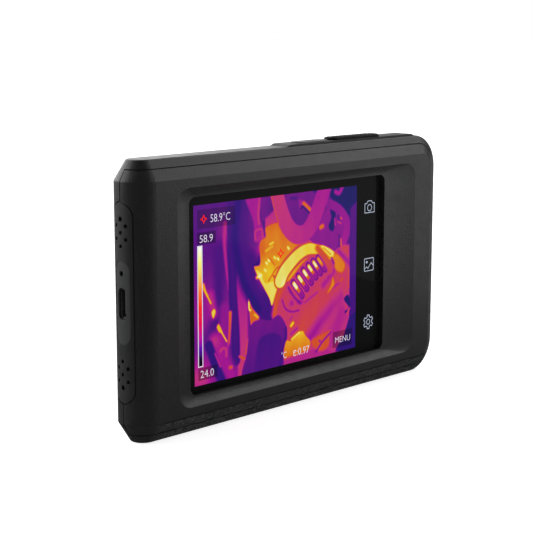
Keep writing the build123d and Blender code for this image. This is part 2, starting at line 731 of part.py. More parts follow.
def board_screw(x, z):
    shank = drum(x, z, BOARD_SCREW_R, CHASSIS_Y + SCREW_ROOT, BOARD_FRONT_Y + BOARD_SCREW_NECK)
    head_y = BOARD_FRONT_Y + BOARD_SCREW_HEAD_T
    return shank + drum(x, z, BOARD_SCREW_HEAD_R, BOARD_FRONT_Y, head_y)


def shield_can(box):
    top = BOARD_FRONT_Y + SHIELD_H
    can = slab(box, SHIELD_R, BOARD_FRONT_Y, top)
    return can - slab(box, SHIELD_R, BOARD_FRONT_Y, top - SHIELD_WALL, grow=-SHIELD_WALL)


def chip(box):
    return slab(box, CHIP_R, BOARD_FRONT_Y, BOARD_FRONT_Y + CHIP_H)


def board_connectors():
    """Display and connector-end sockets behind the board, and two plugs under the sensor board."""
    slot = DISPLAY_SLOT
    display_y = BOARD_Y - DISPLAY_SOCKET_H
    display = block(slot[1] - 5, slot[1] - 1, display_y, BOARD_Y, slot[2] + 1, slot[3] - 1)
    x_low, x_high, z_low, z_high = PORT_SOCKET
    port = block(x_low, x_high, BOARD_Y - PORT_SOCKET_H, BOARD_Y, z_low, z_high)
    plugs = []
    for side in (-1, 1):
        x = LENS_X + side * SENSOR_PLUG_X
        outline = Rectangle(SENSOR_PLUG_W, SENSOR_PLUG_L)
        plugs.append(prism(outline, x, LENS_Z, BOARD_FRONT_Y, SENSOR_BOARD_Y))
    return [display, port] + plugs


def housing_screw(x, z):
    """Cross-head screw, sunk in the lens side of the front shell."""
    seat = BACK_Y - SCREW_SINK
    shank = drum(x, z, SCREW_R, seat - SCREW_LENGTH, seat + SCREW_NECK)
    head = drum(x, z, SCREW_HEAD_R, seat, seat + SCREW_HEAD_T)
    head = fillet(head.edges().group_by(Axis.Y)[-1], SCREW_CROWN_R)
    cross = Rectangle(CROSS_L, CROSS_W) + Rectangle(CROSS_W, CROSS_L)
    return shank + head - prism(cross, x, z, seat + CROSS_FLOOR, seat + 2)


def battery():
    low = CHASSIS_Y + CHASSIS_T + BATTERY_PAD_T
    cell = slab(BATTERY, BATTERY_R, low, BATTERY_FRONT_Y)
    return fillet(cell.edges().filter_by(Plane.XZ), BATTERY_EDGE_R)


def battery_pad():
    low = CHASSIS_Y + CHASSIS_T
    return slab(BATTERY, BATTERY_R, low, low + BATTERY_PAD_T, grow=-BATTERY_PAD_INSET)


def battery_flex():
    x_high, z_low, z_high = BATTERY_RIBBON
    return block(BATTERY[1], x_high, BOARD_FRONT_Y, BOARD_FRONT_Y + RIBBON_T, z_low, z_high)


def wifi_antenna():
    x_high = RIGHT_X - WALL - ANTENNA_GAP
    y_low = MID_Y - ANTENNA_W / 2
    return block(x_high - ANTENNA_T, x_high, y_low, y_low + ANTENNA_W, *ANTENNA_Z)


def antenna_lead():
    x_high = RIGHT_X - WALL - ANTENNA_GAP - ANTENNA_T
    y = (BOARD_Y + BOARD_FRONT_Y) / 2
    return end_prism(Circle(LEAD_R), LEAD_Z, BOARD[1], x_high, y)


# ---------------------------------------------------------------- connector end
def sound_positions():
    """(across, height, radius) of every sound hole in both groups."""
    holes = []
    for side in (-1, 1):
        holes.append((0.0, INSERT_Z + side * SOUND_BIG_OFFSET, SOUND_BIG_R))
        for across, rise in SOUND_OFFSETS:
            holes.append((across, INSERT_Z + side * rise, SOUND_SMALL_R))
    return holes


def end_insert(outer):
    """Curved trim piece, with a fine step round its outer edge that shows as a dark line."""
    step = 2 * INSERT_REBATE_W
    insert = casing_solid(INSERT_REBATE_DEPTH) & end_slot(INSERT_L, INSERT_W, INSERT_Z)
    insert += outer & end_slot(INSERT_L - step, INSERT_W - step, INSERT_Z)
    insert -= casing_solid(INSERT_T)
    insert -= end_slot(PLATE_L + FIT_GAP, PLATE_W + FIT_GAP, PLATE_Z) - casing_solid(PLATE_T)
    insert -= end_slot(*PORT_HOLE, PORT_Z)
    insert -= end_prism(Circle(MIC_HOLE_R), MIC_Z, LEFT_X - 5, END_X)
    for across, z, radius in sound_positions():
        insert -= end_prism(Circle(radius), z, LEFT_X - 5, END_X, MID_Y + across)
    return insert


def port_plate():
    plate = casing_solid(PLATE_DROP) & end_slot(PLATE_L, PLATE_W, PLATE_Z)
    plate -= casing_solid(PLATE_T)
    plate -= end_slot(*PORT_HOLE, PORT_Z)
    return plate - end_prism(Circle(MIC_HOLE_R), MIC_Z, LEFT_X - 5, END_X)


def usb_receptacle():
    back_x = USB_FRONT_X + USB_DEPTH
    can = end_prism(SlotOverall(*USB_OUTER), PORT_Z, USB_FRONT_X, back_x)
    return can - end_prism(SlotOverall(*USB_INNER), PORT_Z, USB_FRONT_X, back_x)


def usb_tongue():
    back_x = USB_FRONT_X + USB_DEPTH
    plug = end_prism(SlotOverall(*USB_INNER), PORT_Z, back_x - USB_BACK_T, back_x)
    tongue = Rectangle(TONGUE_W, TONGUE_T)
    return plug + end_prism(tongue, PORT_Z, USB_FRONT_X + TONGUE_SINK, back_x - USB_BACK_T)


def port_board():
    high = MID_Y - USB_OUTER[1] / 2
    return slab(PORT_BOARD, PORT_BOARD_R, high - PORT_BOARD_T, high)


def microphone():
    low = MID_Y - USB_OUTER[1] / 2
    return block(*MIC_BOX, low, low + MIC_H, MIC_Z - MIC_W / 2, MIC_Z + MIC_W / 2)


def speaker():
    """Speaker box with its sunken mouth towards the sound holes."""
    x_low = END_X - SPEAKER_LENGTH * 0.75
    half_w = SPEAKER_HALF_W
    y_low, y_high = MID_Y - half_w, MID_Y + half_w
    box = block(x_low, x_low + SPEAKER_LENGTH, y_low, y_high, SPEAKER_LOW_Z, SPEAKER_HIGH_Z)
    mouth_w = 2 * (half_w - SPEAKER_RIM)
    mouth_l = SPEAKER_HIGH_Z - SPEAKER_LOW_Z - 2 * SPEAKER_RIM
    mouth_z = (SPEAKER_LOW_Z + SPEAKER_HIGH_Z) / 2
    return box - end_prism(Rectangle(mouth_l, mouth_w), mouth_z, x_low, x_low + SPEAKER_MOUTH)


def sound_mesh(side):
    """Fine mesh strip behind one group of sound holes."""
    strip = end_slot(*MESH, INSERT_Z + side * MESH_OFFSET)
    strip &= casing_solid(INSERT_T + MESH_GAP)
    return strip - casing_solid(INSERT_T + MESH_GAP + MESH_T)


def port_flex():
    """L-shaped ribbon from the connector end, over the chassis, to the main board."""
    low = CHASSIS_Y + CHASSIS_T
    high = low + FLEX_T
    board_y = MID_Y - USB_OUTER[1] / 2
    rise = block(FLEX_X, FLEX_X + FLEX_W, low, high, FLEX_TAB_Z[0], FLEX_TOP_Z)
    run = block(FLEX_X, PORT_SOCKET[0], low, high, FLEX_TOP_Z - FLEX_RUN_H, FLEX_TOP_Z)
    tab = block(FLEX_X - FLEX_TAB_T, FLEX_X, board_y, high, *FLEX_TAB_Z)
    tail = block(FLEX_TAIL_X, FLEX_X - FLEX_TAB_T, board_y, board_y + FLEX_TAIL_T, *FLEX_TAB_Z)
    return rise + run + tab + tail


# ---------------------------------------------------------------- optics
def lens_bezel():
    outline = RectangleRounded(BEZEL_W, BEZEL_H, BEZEL_R - FIT_GAP)
    plate = prism(outline, ISLAND_X, ISLAND_Z, BEZEL_FLOOR_Y, BEZEL_FLOOR_Y + BEZEL_T)
    plate = chamfer(plate.edges().group_by(Axis.Y)[-1], BEZEL_CHAMFER)
    plate -= drum(LENS_X, LENS_Z, BARREL_FLANGE_R + FIT_GAP, 0, ISLAND_Y)
    plate -= drum(SMALL_OPTICS_X, CAMERA_Z, CAMERA_WINDOW_R + FIT_GAP, 0, ISLAND_Y)
    return plate - drum(SMALL_OPTICS_X, TORCH_Z, TORCH_HEAD_R + FIT_GAP, 0, ISLAND_Y)


def lens_seal():
    ring = Circle(BARREL_FLANGE_R - BARREL_CHAMFER) - Circle(BARREL_R + 2 * FIT_GAP)
    return prism(ring, LENS_X, LENS_Z, BEZEL_FLOOR_Y, BEZEL_FLOOR_Y + SEAL_T)


def lens_barrel():
    flange_y = BEZEL_FLOOR_Y + SEAL_T
    retainer_y = LENS_FRONT_Y + RETAINER_T
    bore_r = LENS_R - BARREL_BORE_INSET
    funnel_low, funnel_high = FUNNEL_R
    points = [
        (bore_r, BARREL_REAR_Y),
        (BARREL_R, BARREL_REAR_Y),
        (BARREL_R, flange_y),
        (BARREL_FLANGE_R, flange_y),
        (BARREL_FLANGE_R, LENS_TIP_Y - BARREL_CHAMFER),
        (BARREL_FLANGE_R - BARREL_CHAMFER, LENS_TIP_Y),
        (RETAINER_R + funnel_high, LENS_TIP_Y),
        (RETAINER_R + funnel_low, retainer_y),
        (RETAINER_R + RUNNING_GAP, retainer_y),
        (RETAINER_R + RUNNING_GAP, LENS_FRONT_Y),
        (LENS_R + RUNNING_GAP, LENS_FRONT_Y),
        (LENS_R + RUNNING_GAP, LENS_BACK_Y),
        (bore_r, LENS_BACK_Y),
    ]
    return lens_turned(points)


def lens_retainer():
    top = LENS_FRONT_Y + RETAINER_T
    points = [
        (RETAINER_BORE_R, LENS_FRONT_Y),
        (RETAINER_R, LENS_FRONT_Y),
        (RETAINER_R, top),
        (RETAINER_BORE_R + RETAINER_CONE, top),
    ]
    ring = lens_turned(points)
    for side in (-1, 1):
        notch_x = LENS_X + side * (RETAINER_R + RETAINER_BORE_R) / 2
        ring -= prism(Rectangle(NOTCH_W, NOTCH_H), notch_x, LENS_Z, top - NOTCH_SINK, top)
    return ring


def half_way_drop(reach, rise):
    """Drop of a sphere cap, rise high and reach in radius, at half its radius."""
    sphere_r = (reach**2 + rise**2) / (2 * rise)
    return sphere_r - math.sqrt(sphere_r**2 - (reach / 2) ** 2)


def germanium_lens():
    """Meniscus lens: domed front, hollow back and a flat rim for the retainer."""
    plane = Plane(origin=(LENS_X, 0, LENS_Z), x_dir=(1, 0, 0), z_dir=(0, 0, 1))
    seat_r = LENS_R - LENS_SEAT_INSET
    dome_r = RETAINER_BORE_R - LENS_RIM_GAP
    back_top = LENS_BACK_Y + LENS_HOLLOW
    hollow = half_way_drop(seat_r, LENS_HOLLOW)
    dome = half_way_drop(dome_r, LENS_CROWN_Y - LENS_FRONT_Y)
    outline = [
        ThreePointArc((0, back_top), (seat_r / 2, back_top - hollow), (seat_r, LENS_BACK_Y)),
        Line((seat_r, LENS_BACK_Y), (LENS_R, LENS_BACK_Y)),
        Line((LENS_R, LENS_BACK_Y), (LENS_R, LENS_FRONT_Y)),
        Line((LENS_R, LENS_FRONT_Y), (dome_r, LENS_FRONT_Y)),
        ThreePointArc((dome_r, LENS_FRONT_Y), (dome_r / 2, LENS_CROWN_Y - dome), (0, LENS_CROWN_Y)),
        Line((0, LENS_CROWN_Y), (0, back_top)),
    ]
    return revolve(plane * make_face(Curve() + outline), Axis((LENS_X, 0, LENS_Z), (0, 1, 0)))


def sensor_board():
    outline = RectangleRounded(SENSOR_BOARD_W, SENSOR_BOARD_W, SENSOR_BOARD_R)
    return prism(outline, LENS_X, LENS_Z, SENSOR_BOARD_Y, SENSOR_BOARD_Y + SENSOR_BOARD_T)


def thermal_sensor():
    low = SENSOR_BOARD_Y + SENSOR_BOARD_T
    lid = RectangleRounded(SENSOR_LID_W, SENSOR_LID_W, SENSOR_LID_R)
    body = prism(Rectangle(SENSOR_W, SENSOR_W), LENS_X, LENS_Z, low, low + SENSOR_T - SENSOR_LID_H)
    return body + prism(lid, LENS_X, LENS_Z, low, low + SENSOR_T)


def flag_plane():
    """Plane of the flag with its local x along the arm, at rest: swung down, clear of the detector."""
    turn = math.radians(FLAG_SWING)
    arm = (math.cos(turn), 0, -math.sin(turn))
    return Plane(origin=(FLAG_X, FLAG_Y + FLAG_T, FLAG_Z), x_dir=arm, z_dir=(0, -1, 0))


def shutter_flag():
    arm = Pos(FLAG_ARM / 2, 0) * Rectangle(FLAG_ARM, FLAG_ARM_W)
    outline = Circle(FLAG_HUB_R) + arm + Pos(FLAG_ARM, 0) * Circle(FLAG_R)
    return extrude(flag_plane() * (outline - Circle(FLAG_SHAFT_R)), FLAG_T)


def flag_shaft():
    y_high = FLAG_Y + FLAG_T + SHAFT_END
    return drum(FLAG_X, FLAG_Z, FLAG_SHAFT_R, BOARD_FRONT_Y + SHAFT_ROOT, y_high)


def flag_motor():
    body = drum(FLAG_X, FLAG_Z, FLAG_MOTOR_R, BOARD_FRONT_Y, FLAG_Y - MOTOR_GAP)
    bore = drum(FLAG_X, FLAG_Z, FLAG_SHAFT_R + RUNNING_GAP, BOARD_FRONT_Y + MOTOR_FLOOR, FLAG_Y)
    return body - bore


CAMERA_SEAT_Y = CAMERA_BOARD_Y + CAMERA_BOARD_T


def camera_board():
    return slab(CAMERA_BOARD, SHIELD_R, CAMERA_BOARD_Y, CAMERA_SEAT_Y)


def camera_module():
    top = CAMERA_SEAT_Y + CAMERA_BODY_H
    outline = RectangleRounded(CAMERA_BODY_W, CAMERA_BODY_W, SHIELD_R)
    body = prism(outline, SMALL_OPTICS_X, CAMERA_Z, CAMERA_SEAT_Y, top)
    return body + drum(SMALL_OPTICS_X, CAMERA_Z, CAMERA_BARREL_R, top, BEZEL_FLOOR_Y - FIT_GAP)


def camera_window():
    return drum(SMALL_OPTICS_X, CAMERA_Z, CAMERA_WINDOW_R, BEZEL_FLOOR_Y, BEZEL_FLOOR_Y + BEZEL_T)


def torch_led():
    top = CAMERA_SEAT_Y + LED_H
    base = prism(Rectangle(LED_W, LED_W), SMALL_OPTICS_X, TORCH_Z, CAMERA_SEAT_Y, top)
    return base + drum(SMALL_OPTICS_X, TORCH_Z, LED_DIE_R, top, top + LED_DIE_H)


def torch_lens():
    stem = drum(SMALL_OPTICS_X, TORCH_Z, TORCH_STEM_R, TORCH_STEM_Y, BEZEL_FLOOR_Y + EPS)
    head = drum(SMALL_OPTICS_X, TORCH_Z, TORCH_HEAD_R, BEZEL_FLOOR_Y, ISLAND_Y + TORCH_PROUD)
    return stem + fillet(head.edges().group_by(Axis.Y)[-1], TORCH_EDGE_R)


def tripod_insert():
    """Brass bush with the 1/4-20 thread's minor bore, and a lead-in chamfer at its mouth."""
    top = TRIPOD_SINK + TRIPOD_LENGTH
    bush = upright(Circle(TRIPOD_INSERT_R), TRIPOD_X, MID_Y, TRIPOD_SINK, top)
    bush -= upright(Circle(TRIPOD_BORE_R), TRIPOD_X, MID_Y, 0, top)
    mouth = [edge for edge in bush.edges().group_by(Axis.Z)[0] if edge.radius < TRIPOD_INSERT_R - EPS]
    return chamfer(mouth, TRIPOD_LEAD_IN)


# ---------------------------------------------------------------- nodes
def group(shapes):
    return Compound(children=[solid for shape in shapes for solid in shape.solids()])


def nodes():
    outer = soften(casing_solid())
    cavity = casing_solid(WALL)
    groove = seam_groove(outer)
    pocket = insert_pocket()
    return {
        "rear_shell": rear_shell(outer, cavity, groove, pocket),
        "front_shell": front_shell(outer, cavity, groove, pocket),
        "cover_glass": slab(GLASS, GLASS_R, GLASS_Y, GLASS_Y + GLASS_T),
        "glass_adhesive": glass_adhesive(),
        "lcd_panel": lcd_panel(),
        "lcd_backlight": lcd_backlight(),
        "display_flex": display_flex(),
        "chassis_plate": chassis_plate(),
        "main_board": main_board(),
        "board_screws": group([board_screw(x, z) for x, z in BOARD_SCREWS]),
        "shield_cans": group([shield_can(box) for box in SHIELDS]),
        "board_chips": group([chip(box) for box in CHIPS]),
        "board_connectors": group(board_connectors()),
        "battery": battery(),
        "battery_pad": battery_pad(),
        "battery_flex": battery_flex(),
        "wifi_antenna": wifi_antenna(),
        "antenna_lead": antenna_lead(),
        "end_insert": end_insert(outer),
        "port_plate": port_plate(),
        "usb_receptacle": usb_receptacle(),
        "usb_tongue": usb_tongue(),
        "port_board": port_board(),
        "microphone": microphone(),
        "speaker": speaker(),
        "sound_meshes": group([sound_mesh(side) for side in (-1, 1)]),
        "port_flex": port_flex(),
        "button_pad": button_pad(),
        "power_button": power_button(),
        "power_plunger": plunger(POWER_X),
        "shutter_button": shutter_button(),
        "shutter_plunger": plunger(SHUTTER_X),
        "switch_bodies": group([switch_body(x) for x in (POWER_X, SHUTTER_X)]),
        "button_board": button_board(),
        "button_screws": group([button_screw(x) for x in BUTTON_SCREWS]),
        "button_flex": button_flex(),
        "lens_bezel": lens_bezel(),
        "lens_seal": lens_seal(),
        "lens_barrel": lens_barrel(),
        "lens_retainer": lens_retainer(),
        "germanium_lens": germanium_lens(),
        "sensor_board": sensor_board(),
        "thermal_sensor": thermal_sensor(),
        "shutter_flag": shutter_flag(),
        "flag_shaft": flag_shaft(),
        "flag_motor": flag_motor(),
        "camera_board": camera_board(),
        "camera_module": camera_module(),
        "camera_window": camera_window(),
        "torch_led": torch_led(),
        "torch_lens": torch_lens(),
        "tripod_insert": tripod_insert(),
        "housing_screws": group([housing_screw(x, z) for x, z in HOUSING_SCREWS]),
    }


os.makedirs("parts", exist_ok=True)
for node, shape in nodes().items():
    export_step(shape, f"parts/{node}.step")
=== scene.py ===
import json
import math

import bmesh
import bpy
import numpy as np
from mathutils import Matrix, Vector


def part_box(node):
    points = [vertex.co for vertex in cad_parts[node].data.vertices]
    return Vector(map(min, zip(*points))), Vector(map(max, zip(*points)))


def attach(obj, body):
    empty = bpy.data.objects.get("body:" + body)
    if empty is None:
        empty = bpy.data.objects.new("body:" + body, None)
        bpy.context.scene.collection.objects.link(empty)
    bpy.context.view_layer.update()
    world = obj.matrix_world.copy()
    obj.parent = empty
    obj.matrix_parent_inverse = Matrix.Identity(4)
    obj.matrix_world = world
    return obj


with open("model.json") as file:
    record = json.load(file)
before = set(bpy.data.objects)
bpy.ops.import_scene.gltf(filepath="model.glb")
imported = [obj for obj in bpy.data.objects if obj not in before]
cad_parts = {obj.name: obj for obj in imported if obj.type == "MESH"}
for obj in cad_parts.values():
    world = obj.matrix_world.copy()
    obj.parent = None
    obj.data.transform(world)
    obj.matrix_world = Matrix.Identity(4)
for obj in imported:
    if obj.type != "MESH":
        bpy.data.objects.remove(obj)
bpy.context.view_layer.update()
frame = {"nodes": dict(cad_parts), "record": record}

MM = 0.001

# ---------------------------------------------------------------- node helpers

# Sockets of a Mix node that mixes colours.
MIX_FIRST = 6
MIX_SECOND = 7
MIX_RESULT = 2

# A rounded normal this far off the true one (as their dot product) counts as a full edge.
EDGE_DOT = 0.86
EDGE_SAMPLES = 6

WHITE = (1.0, 1.0, 1.0)


class Look:
    """One procedural material. Lengths are given in millimetres."""

    def __init__(self, name):
        self.material = bpy.data.materials.new(name)
        self.material.use_nodes = True
        self.tree = self.material.node_tree
        self.shader = self.tree.nodes["Principled BSDF"]
        self.place = self.tree.nodes.new("ShaderNodeTexCoord").outputs["Object"]

    def node(self, kind, inputs=None, **settings):
        made = self.tree.nodes.new("ShaderNode" + kind)
        for key, value in settings.items():
            setattr(made, key, value)
        for key, value in (inputs or {}).items():
            self.put(made.inputs[key], value)
        return made

    def put(self, socket, value):
        if isinstance(value, bpy.types.NodeSocket):
            self.tree.links.new(value, socket)
        else:
            socket.default_value = value

    def math(self, operation, first, second):
        return self.node("Math", {0: first, 1: second}, operation=operation).outputs[0]

    def noise(self, size, detail=3.0, rough=0.5, stretch=None, warp=0.0):
        """Clouds of the given size. A stretch above 1 makes them finer along that axis."""
        vector = self.place
        if stretch:
            vector = self.node("Mapping", {"Vector": vector, "Scale": stretch}).outputs[0]
        inputs = {"Vector": vector, "Scale": 1.0 / (size * MM), "Detail": detail,
                  "Roughness": rough, "Distortion": warp}
        return self.node("TexNoise", inputs).outputs["Fac"]

    def cells(self, size):
        """0 at the middle of each cell, rising towards its border."""
        inputs = {"Vector": self.place, "Scale": 1.0 / (size * MM)}
        return self.node("TexVoronoi", inputs).outputs["Distance"]

    def remap(self, value, low, high, to_low, to_high):
        inputs = {"Value": value, "From Min": low, "From Max": high,
                  "To Min": to_low, "To Max": to_high}
        return self.node("MapRange", inputs).outputs[0]

    def ramp(self, value, stops):
        """A colour scale. stops are (place from 0 to 1, colour), in order."""
        made = self.node("ValToRGB", {"Fac": value})
        points = made.color_ramp.elements
        for point, (at, colour) in zip((points[0], points[1]), (stops[0], stops[-1])):
            point.position = at
            point.color = (*colour, 1.0)
        for at, colour in stops[1:-1]:
            points.new(at).color = (*colour, 1.0)
        return made.outputs["Color"]

    def mix(self, share, first, second):
        inputs = {"Factor": share, MIX_FIRST: first, MIX_SECOND: second}
        return self.node("Mix", inputs, data_type="RGBA").outputs[MIX_RESULT]

    def edges(self, radius):
        """About 1 on the piece's sharp edges and 0 on its flats."""
        soft = self.node("Bevel", {"Radius": radius * MM}, samples=EDGE_SAMPLES).outputs[0]
        hard = self.node("NewGeometry").outputs["Normal"]
        dot = self.node("VectorMath", {0: soft, 1: hard}, operation="DOT_PRODUCT")
        return self.remap(dot.outputs["Value"], 1.0, EDGE_DOT, 0.0, 1.0)

    def bump(self, height, depth):
        return self.node("Bump", {"Height": height, "Distance": depth * MM}).outputs[0]

    def set(self, **values):
        """Sets or links sockets of the shader, and gives the material back."""
        for key, value in values.items():
            self.put(self.shader.inputs[key.replace("_", " ")], value)
        return self.material


def grey(level, tint=WHITE):
    """A colour of that brightness, with a hue from tint."""
    return tuple(level * part for part in tint) + (1.0,)


def screen(red, green, blue):
    """A colour as a display states it, 0 to 255, turned into linear light."""
    out = []
    for part in (red, green, blue):
        level = part / 255
        linear = level / 12.92 if level < 0.04045 else ((level + 0.055) / 1.055) ** 2.4
        out.append(linear)
    return tuple(out)


# ------------------------------------------------------------------- materials

# Pattern sizes in millimetres.
CLOUD_SIZE = 26.0
PATCH_SIZE = 4.0
SMEAR_SIZE = 14.0
DUST_SIZE = 1.4
STAIN_SIZE = 6.0
CREASE_SIZE = 5.0
EDGE_WEAR_AND_HIGHLIGHT_R = 0.35
EDGE_SHINE_R = 0.12

# The coarse grain, against the fine one, and the painted shade and roughness along the fold beside
# it.
CRUST_SIZE = 2.2
CRUST_LEVEL = 6.2
CRUST_HEIGHT = 14.0
FOLD_SHADE_LEVEL = 0.1
FOLD_ROUGH = 0.6


def moulded(name, level, tint=WHITE, rough=0.5, grain=0.45, depth=0.02, edge_wear_and_highlight=0.0, specular=0.5,
            spread=0.14, coarse=None):
    """Spark-textured moulded plastic: fine grain, cloudy colour, and edges paled partly by wear and
    partly by a painted highlight.

    coarse is a function that gives two masks: where the grain is rough instead of fine, and the
    fold beside it, which is painted dark as shade."""
    look = Look(name)
    cloud = look.noise(CLOUD_SIZE, 4.0, 0.6)
    fine = look.noise(grain, 2.0, 0.6)
    pits = look.cells(grain * 1.9)
    dark = grey(level * (1.0 - spread), tint)
    pale = grey(level * (1.0 + spread), tint)
    speck = look.mix(look.remap(fine, 0.35, 0.65, 0.0, 1.0), dark, pale)
    colour = look.mix(look.remap(cloud, 0.3, 0.7, 0.0, 0.35), speck, pale)
    # Paler edges: partly rubbed wear, partly a painted highlight where the edges would catch the
    # light.
    if edge_wear_and_highlight:
        uneven = look.remap(cloud, 0.4, 0.6, 0.5, 1.0)
        edge_wear_and_highlight_mask = look.math("MULTIPLY", look.edges(EDGE_WEAR_AND_HIGHLIGHT_R), uneven)
        edge_wear_and_highlight_share = look.math("MULTIPLY", edge_wear_and_highlight_mask, edge_wear_and_highlight)
        colour = look.mix(edge_wear_and_highlight_share, colour, grey(level * 2.6, tint))
    height = look.math("ADD", fine, look.math("MULTIPLY", pits, 0.6))
    patches = look.noise(PATCH_SIZE, 4.0, 0.65)
    roughness = look.remap(patches, 0.3, 0.7, rough - 0.05, rough + 0.07)
    if coarse:
        crust = look.noise(grain * CRUST_SIZE, 2.0, 0.6)
        band, shaded_fold = coarse(look)
        chips = look.math("MULTIPLY", look.remap(crust, 0.45, 0.62, 0.0, 1.0), band)
        colour = look.mix(chips, colour, grey(level * CRUST_LEVEL, tint))
        # Painted shade: a dark line along the fold where the two faces meet.
        colour = look.mix(shaded_fold, colour, grey(level * FOLD_SHADE_LEVEL, tint))
        # The lumps centre on zero, so the band's border doesn't become a step.
        lumps = look.math("MULTIPLY", look.math("SUBTRACT", crust, 0.5), band)
        height = look.math("ADD", height, look.math("MULTIPLY", lumps, CRUST_HEIGHT))
        roughness = look.math("ADD", roughness, look.math("MULTIPLY", shaded_fold, FOLD_ROUGH))
    look.set(Specular_IOR_Level=specular)
    return look.set(Base_Color=colour, Roughness=roughness, Normal=look.bump(height, depth))


def smears(look):
    """Finger smears, longer than they are wide."""
    return look.noise(SMEAR_SIZE, 5.0, 0.6, stretch=(1.0, 1.0, 0.35), warp=0.6)


def glossy(name, level, tint=WHITE, rough=0.06, specular=0.5, coat=0.0):
    """Polished moulding or coated glass: faint smears in the gloss and a little dust."""
    look = Look(name)
    smear = smears(look)
    dust = look.remap(look.cells(DUST_SIZE), 0.0, 0.09, 1.0, 0.0)
    kept = look.math("MULTIPLY", dust, look.remap(look.noise(5.0), 0.5, 0.7, 0.0, 0.5))
    colour = look.mix(kept, grey(level, tint), grey(level * 3 + 0.01, tint))
    roughness = look.remap(smear, 0.35, 0.7, rough, rough * 2.2 + 0.02)
    waves = look.bump(look.noise(30.0, 1.0), 0.004)
    look.set(Coat_Weight=coat, Coat_Roughness=0.04, Specular_IOR_Level=specular)
    return look.set(Base_Color=colour, Roughness=roughness, Normal=waves)


def metal(name, level, tint=WHITE, rough=0.3, brushed=(1.0, 1.0, 1.0), grain=0.3):
    """Bare or plated metal with brush lines, tarnish and a painted highlight on its edges."""
    look = Look(name)
    lines = look.noise(grain, 3.0, 0.6, stretch=brushed)
    stain = look.remap(look.noise(STAIN_SIZE, 5.0, 0.65), 0.3, 0.7, 0.0, 1.0)
    colour = look.mix(stain, grey(level * 0.82, tint), grey(level, tint))
    # A painted highlight along the edges.
    shine = look.math("MULTIPLY", look.edges(EDGE_SHINE_R), 0.5)
    colour = look.mix(shine, colour, grey(min(1.0, level * 1.3), tint))
    roughness = look.remap(lines, 0.3, 0.7, rough * 0.75, rough * 1.35)
    look.set(Metallic=1.0)
    return look.set(Base_Color=colour, Roughness=roughness, Normal=look.bump(lines, 0.004))


def board(name):
    """Solder mask with copper tracks showing as slightly paler lines."""
    look = Look(name)
    pattern = {"Vector": look.place, "Scale": 1.0, "Mortar Size": 0.12 * MM,
               "Brick Width": 2.1 * MM, "Row Height": 1.3 * MM}
    tracks = look.node("TexBrick", pattern).outputs["Fac"]
    dark = grey(1.0, (0.004, 0.05, 0.02))
    pale = grey(1.0, (0.008, 0.09, 0.035))
    copper = grey(1.0, (0.03, 0.2, 0.07))
    shade = look.mix(look.noise(3.0), dark, pale)
    colour = look.mix(look.math("MULTIPLY", tracks, 0.6), shade, copper)
    return look.set(Base_Color=colour, Roughness=look.remap(tracks, 0, 1, 0.28, 0.4),
                    Normal=look.bump(tracks, 0.02))


def foil(name):
    """Creased aluminium foil of a battery pouch."""
    look = Look(name)
    crease = look.noise(CREASE_SIZE, 6.0, 0.55, warp=1.2)
    look.set(Metallic=0.85)
    # Painted shade and highlight: the colour follows the creases' relief, darker in the hollows and
    # paler on the ridges.
    colour = look.mix(crease, grey(0.42, (1, 1, 1.03)), grey(0.62))
    return look.set(Base_Color=colour, Roughness=look.remap(crease, 0.3, 0.7, 0.3, 0.5),
                    Normal=look.bump(crease, 0.15))


def ribbon_film(name):
    """Amber film with its conductors showing as lines."""
    look = Look(name)
    lines = look.noise(0.5, 1.0, 0.5, stretch=(6.0, 1.0, 1.0))
    dark = grey(1.0, (0.45, 0.17, 0.02))
    pale = grey(1.0, (0.62, 0.27, 0.05))
    colour = look.mix(look.remap(lines, 0.4, 0.6, 0.0, 1.0), dark, pale)
    return look.set(Base_Color=colour, Roughness=look.remap(lines, 0, 1, 0.25, 0.4),
                    Normal=look.bump(lines, 0.01))


def coated_germanium(name):
    """Germanium under an infrared coating: dark metal gloss that drifts from blue to violet."""
    look = Look(name)
    rings = look.noise(9.0, 1.0)
    facing = look.node("LayerWeight", {"Blend": 0.35}).outputs["Facing"]
    shift = look.math("ADD", look.math("MULTIPLY", rings, 0.35),
                      look.math("MULTIPLY", facing, 0.7))
    colour = look.ramp(shift, [(0.0, (0.10, 0.13, 0.20)), (0.35, (0.17, 0.16, 0.27)),
                               (0.7, (0.30, 0.20, 0.24)), (1.0, (0.42, 0.36, 0.30))])
    look.set(Metallic=0.95)
    return look.set(Base_Color=colour, Roughness=look.remap(look.noise(2.0), 0.3, 0.7, 0.05, 0.1),
                    Normal=look.bump(look.noise(20.0, 1.0), 0.002))


def torch_cover(name):
    """Frosted torch moulding over a yellow phosphor."""
    look = Look(name)
    ring = look.cells(1.1)
    phosphor = grey(1.0, (0.72, 0.62, 0.3))
    colour = look.mix(look.remap(ring, 0.1, 0.6, 0.0, 1.0), phosphor, grey(0.8))
    look.set(Coat_Weight=0.6)
    return look.set(Base_Color=colour, Roughness=look.remap(ring, 0, 1, 0.12, 0.25),
                    Normal=look.bump(ring, 0.08))


BAND_TOP = 6.0
BAND_END = -59.0
BAND_FADE = 4.0


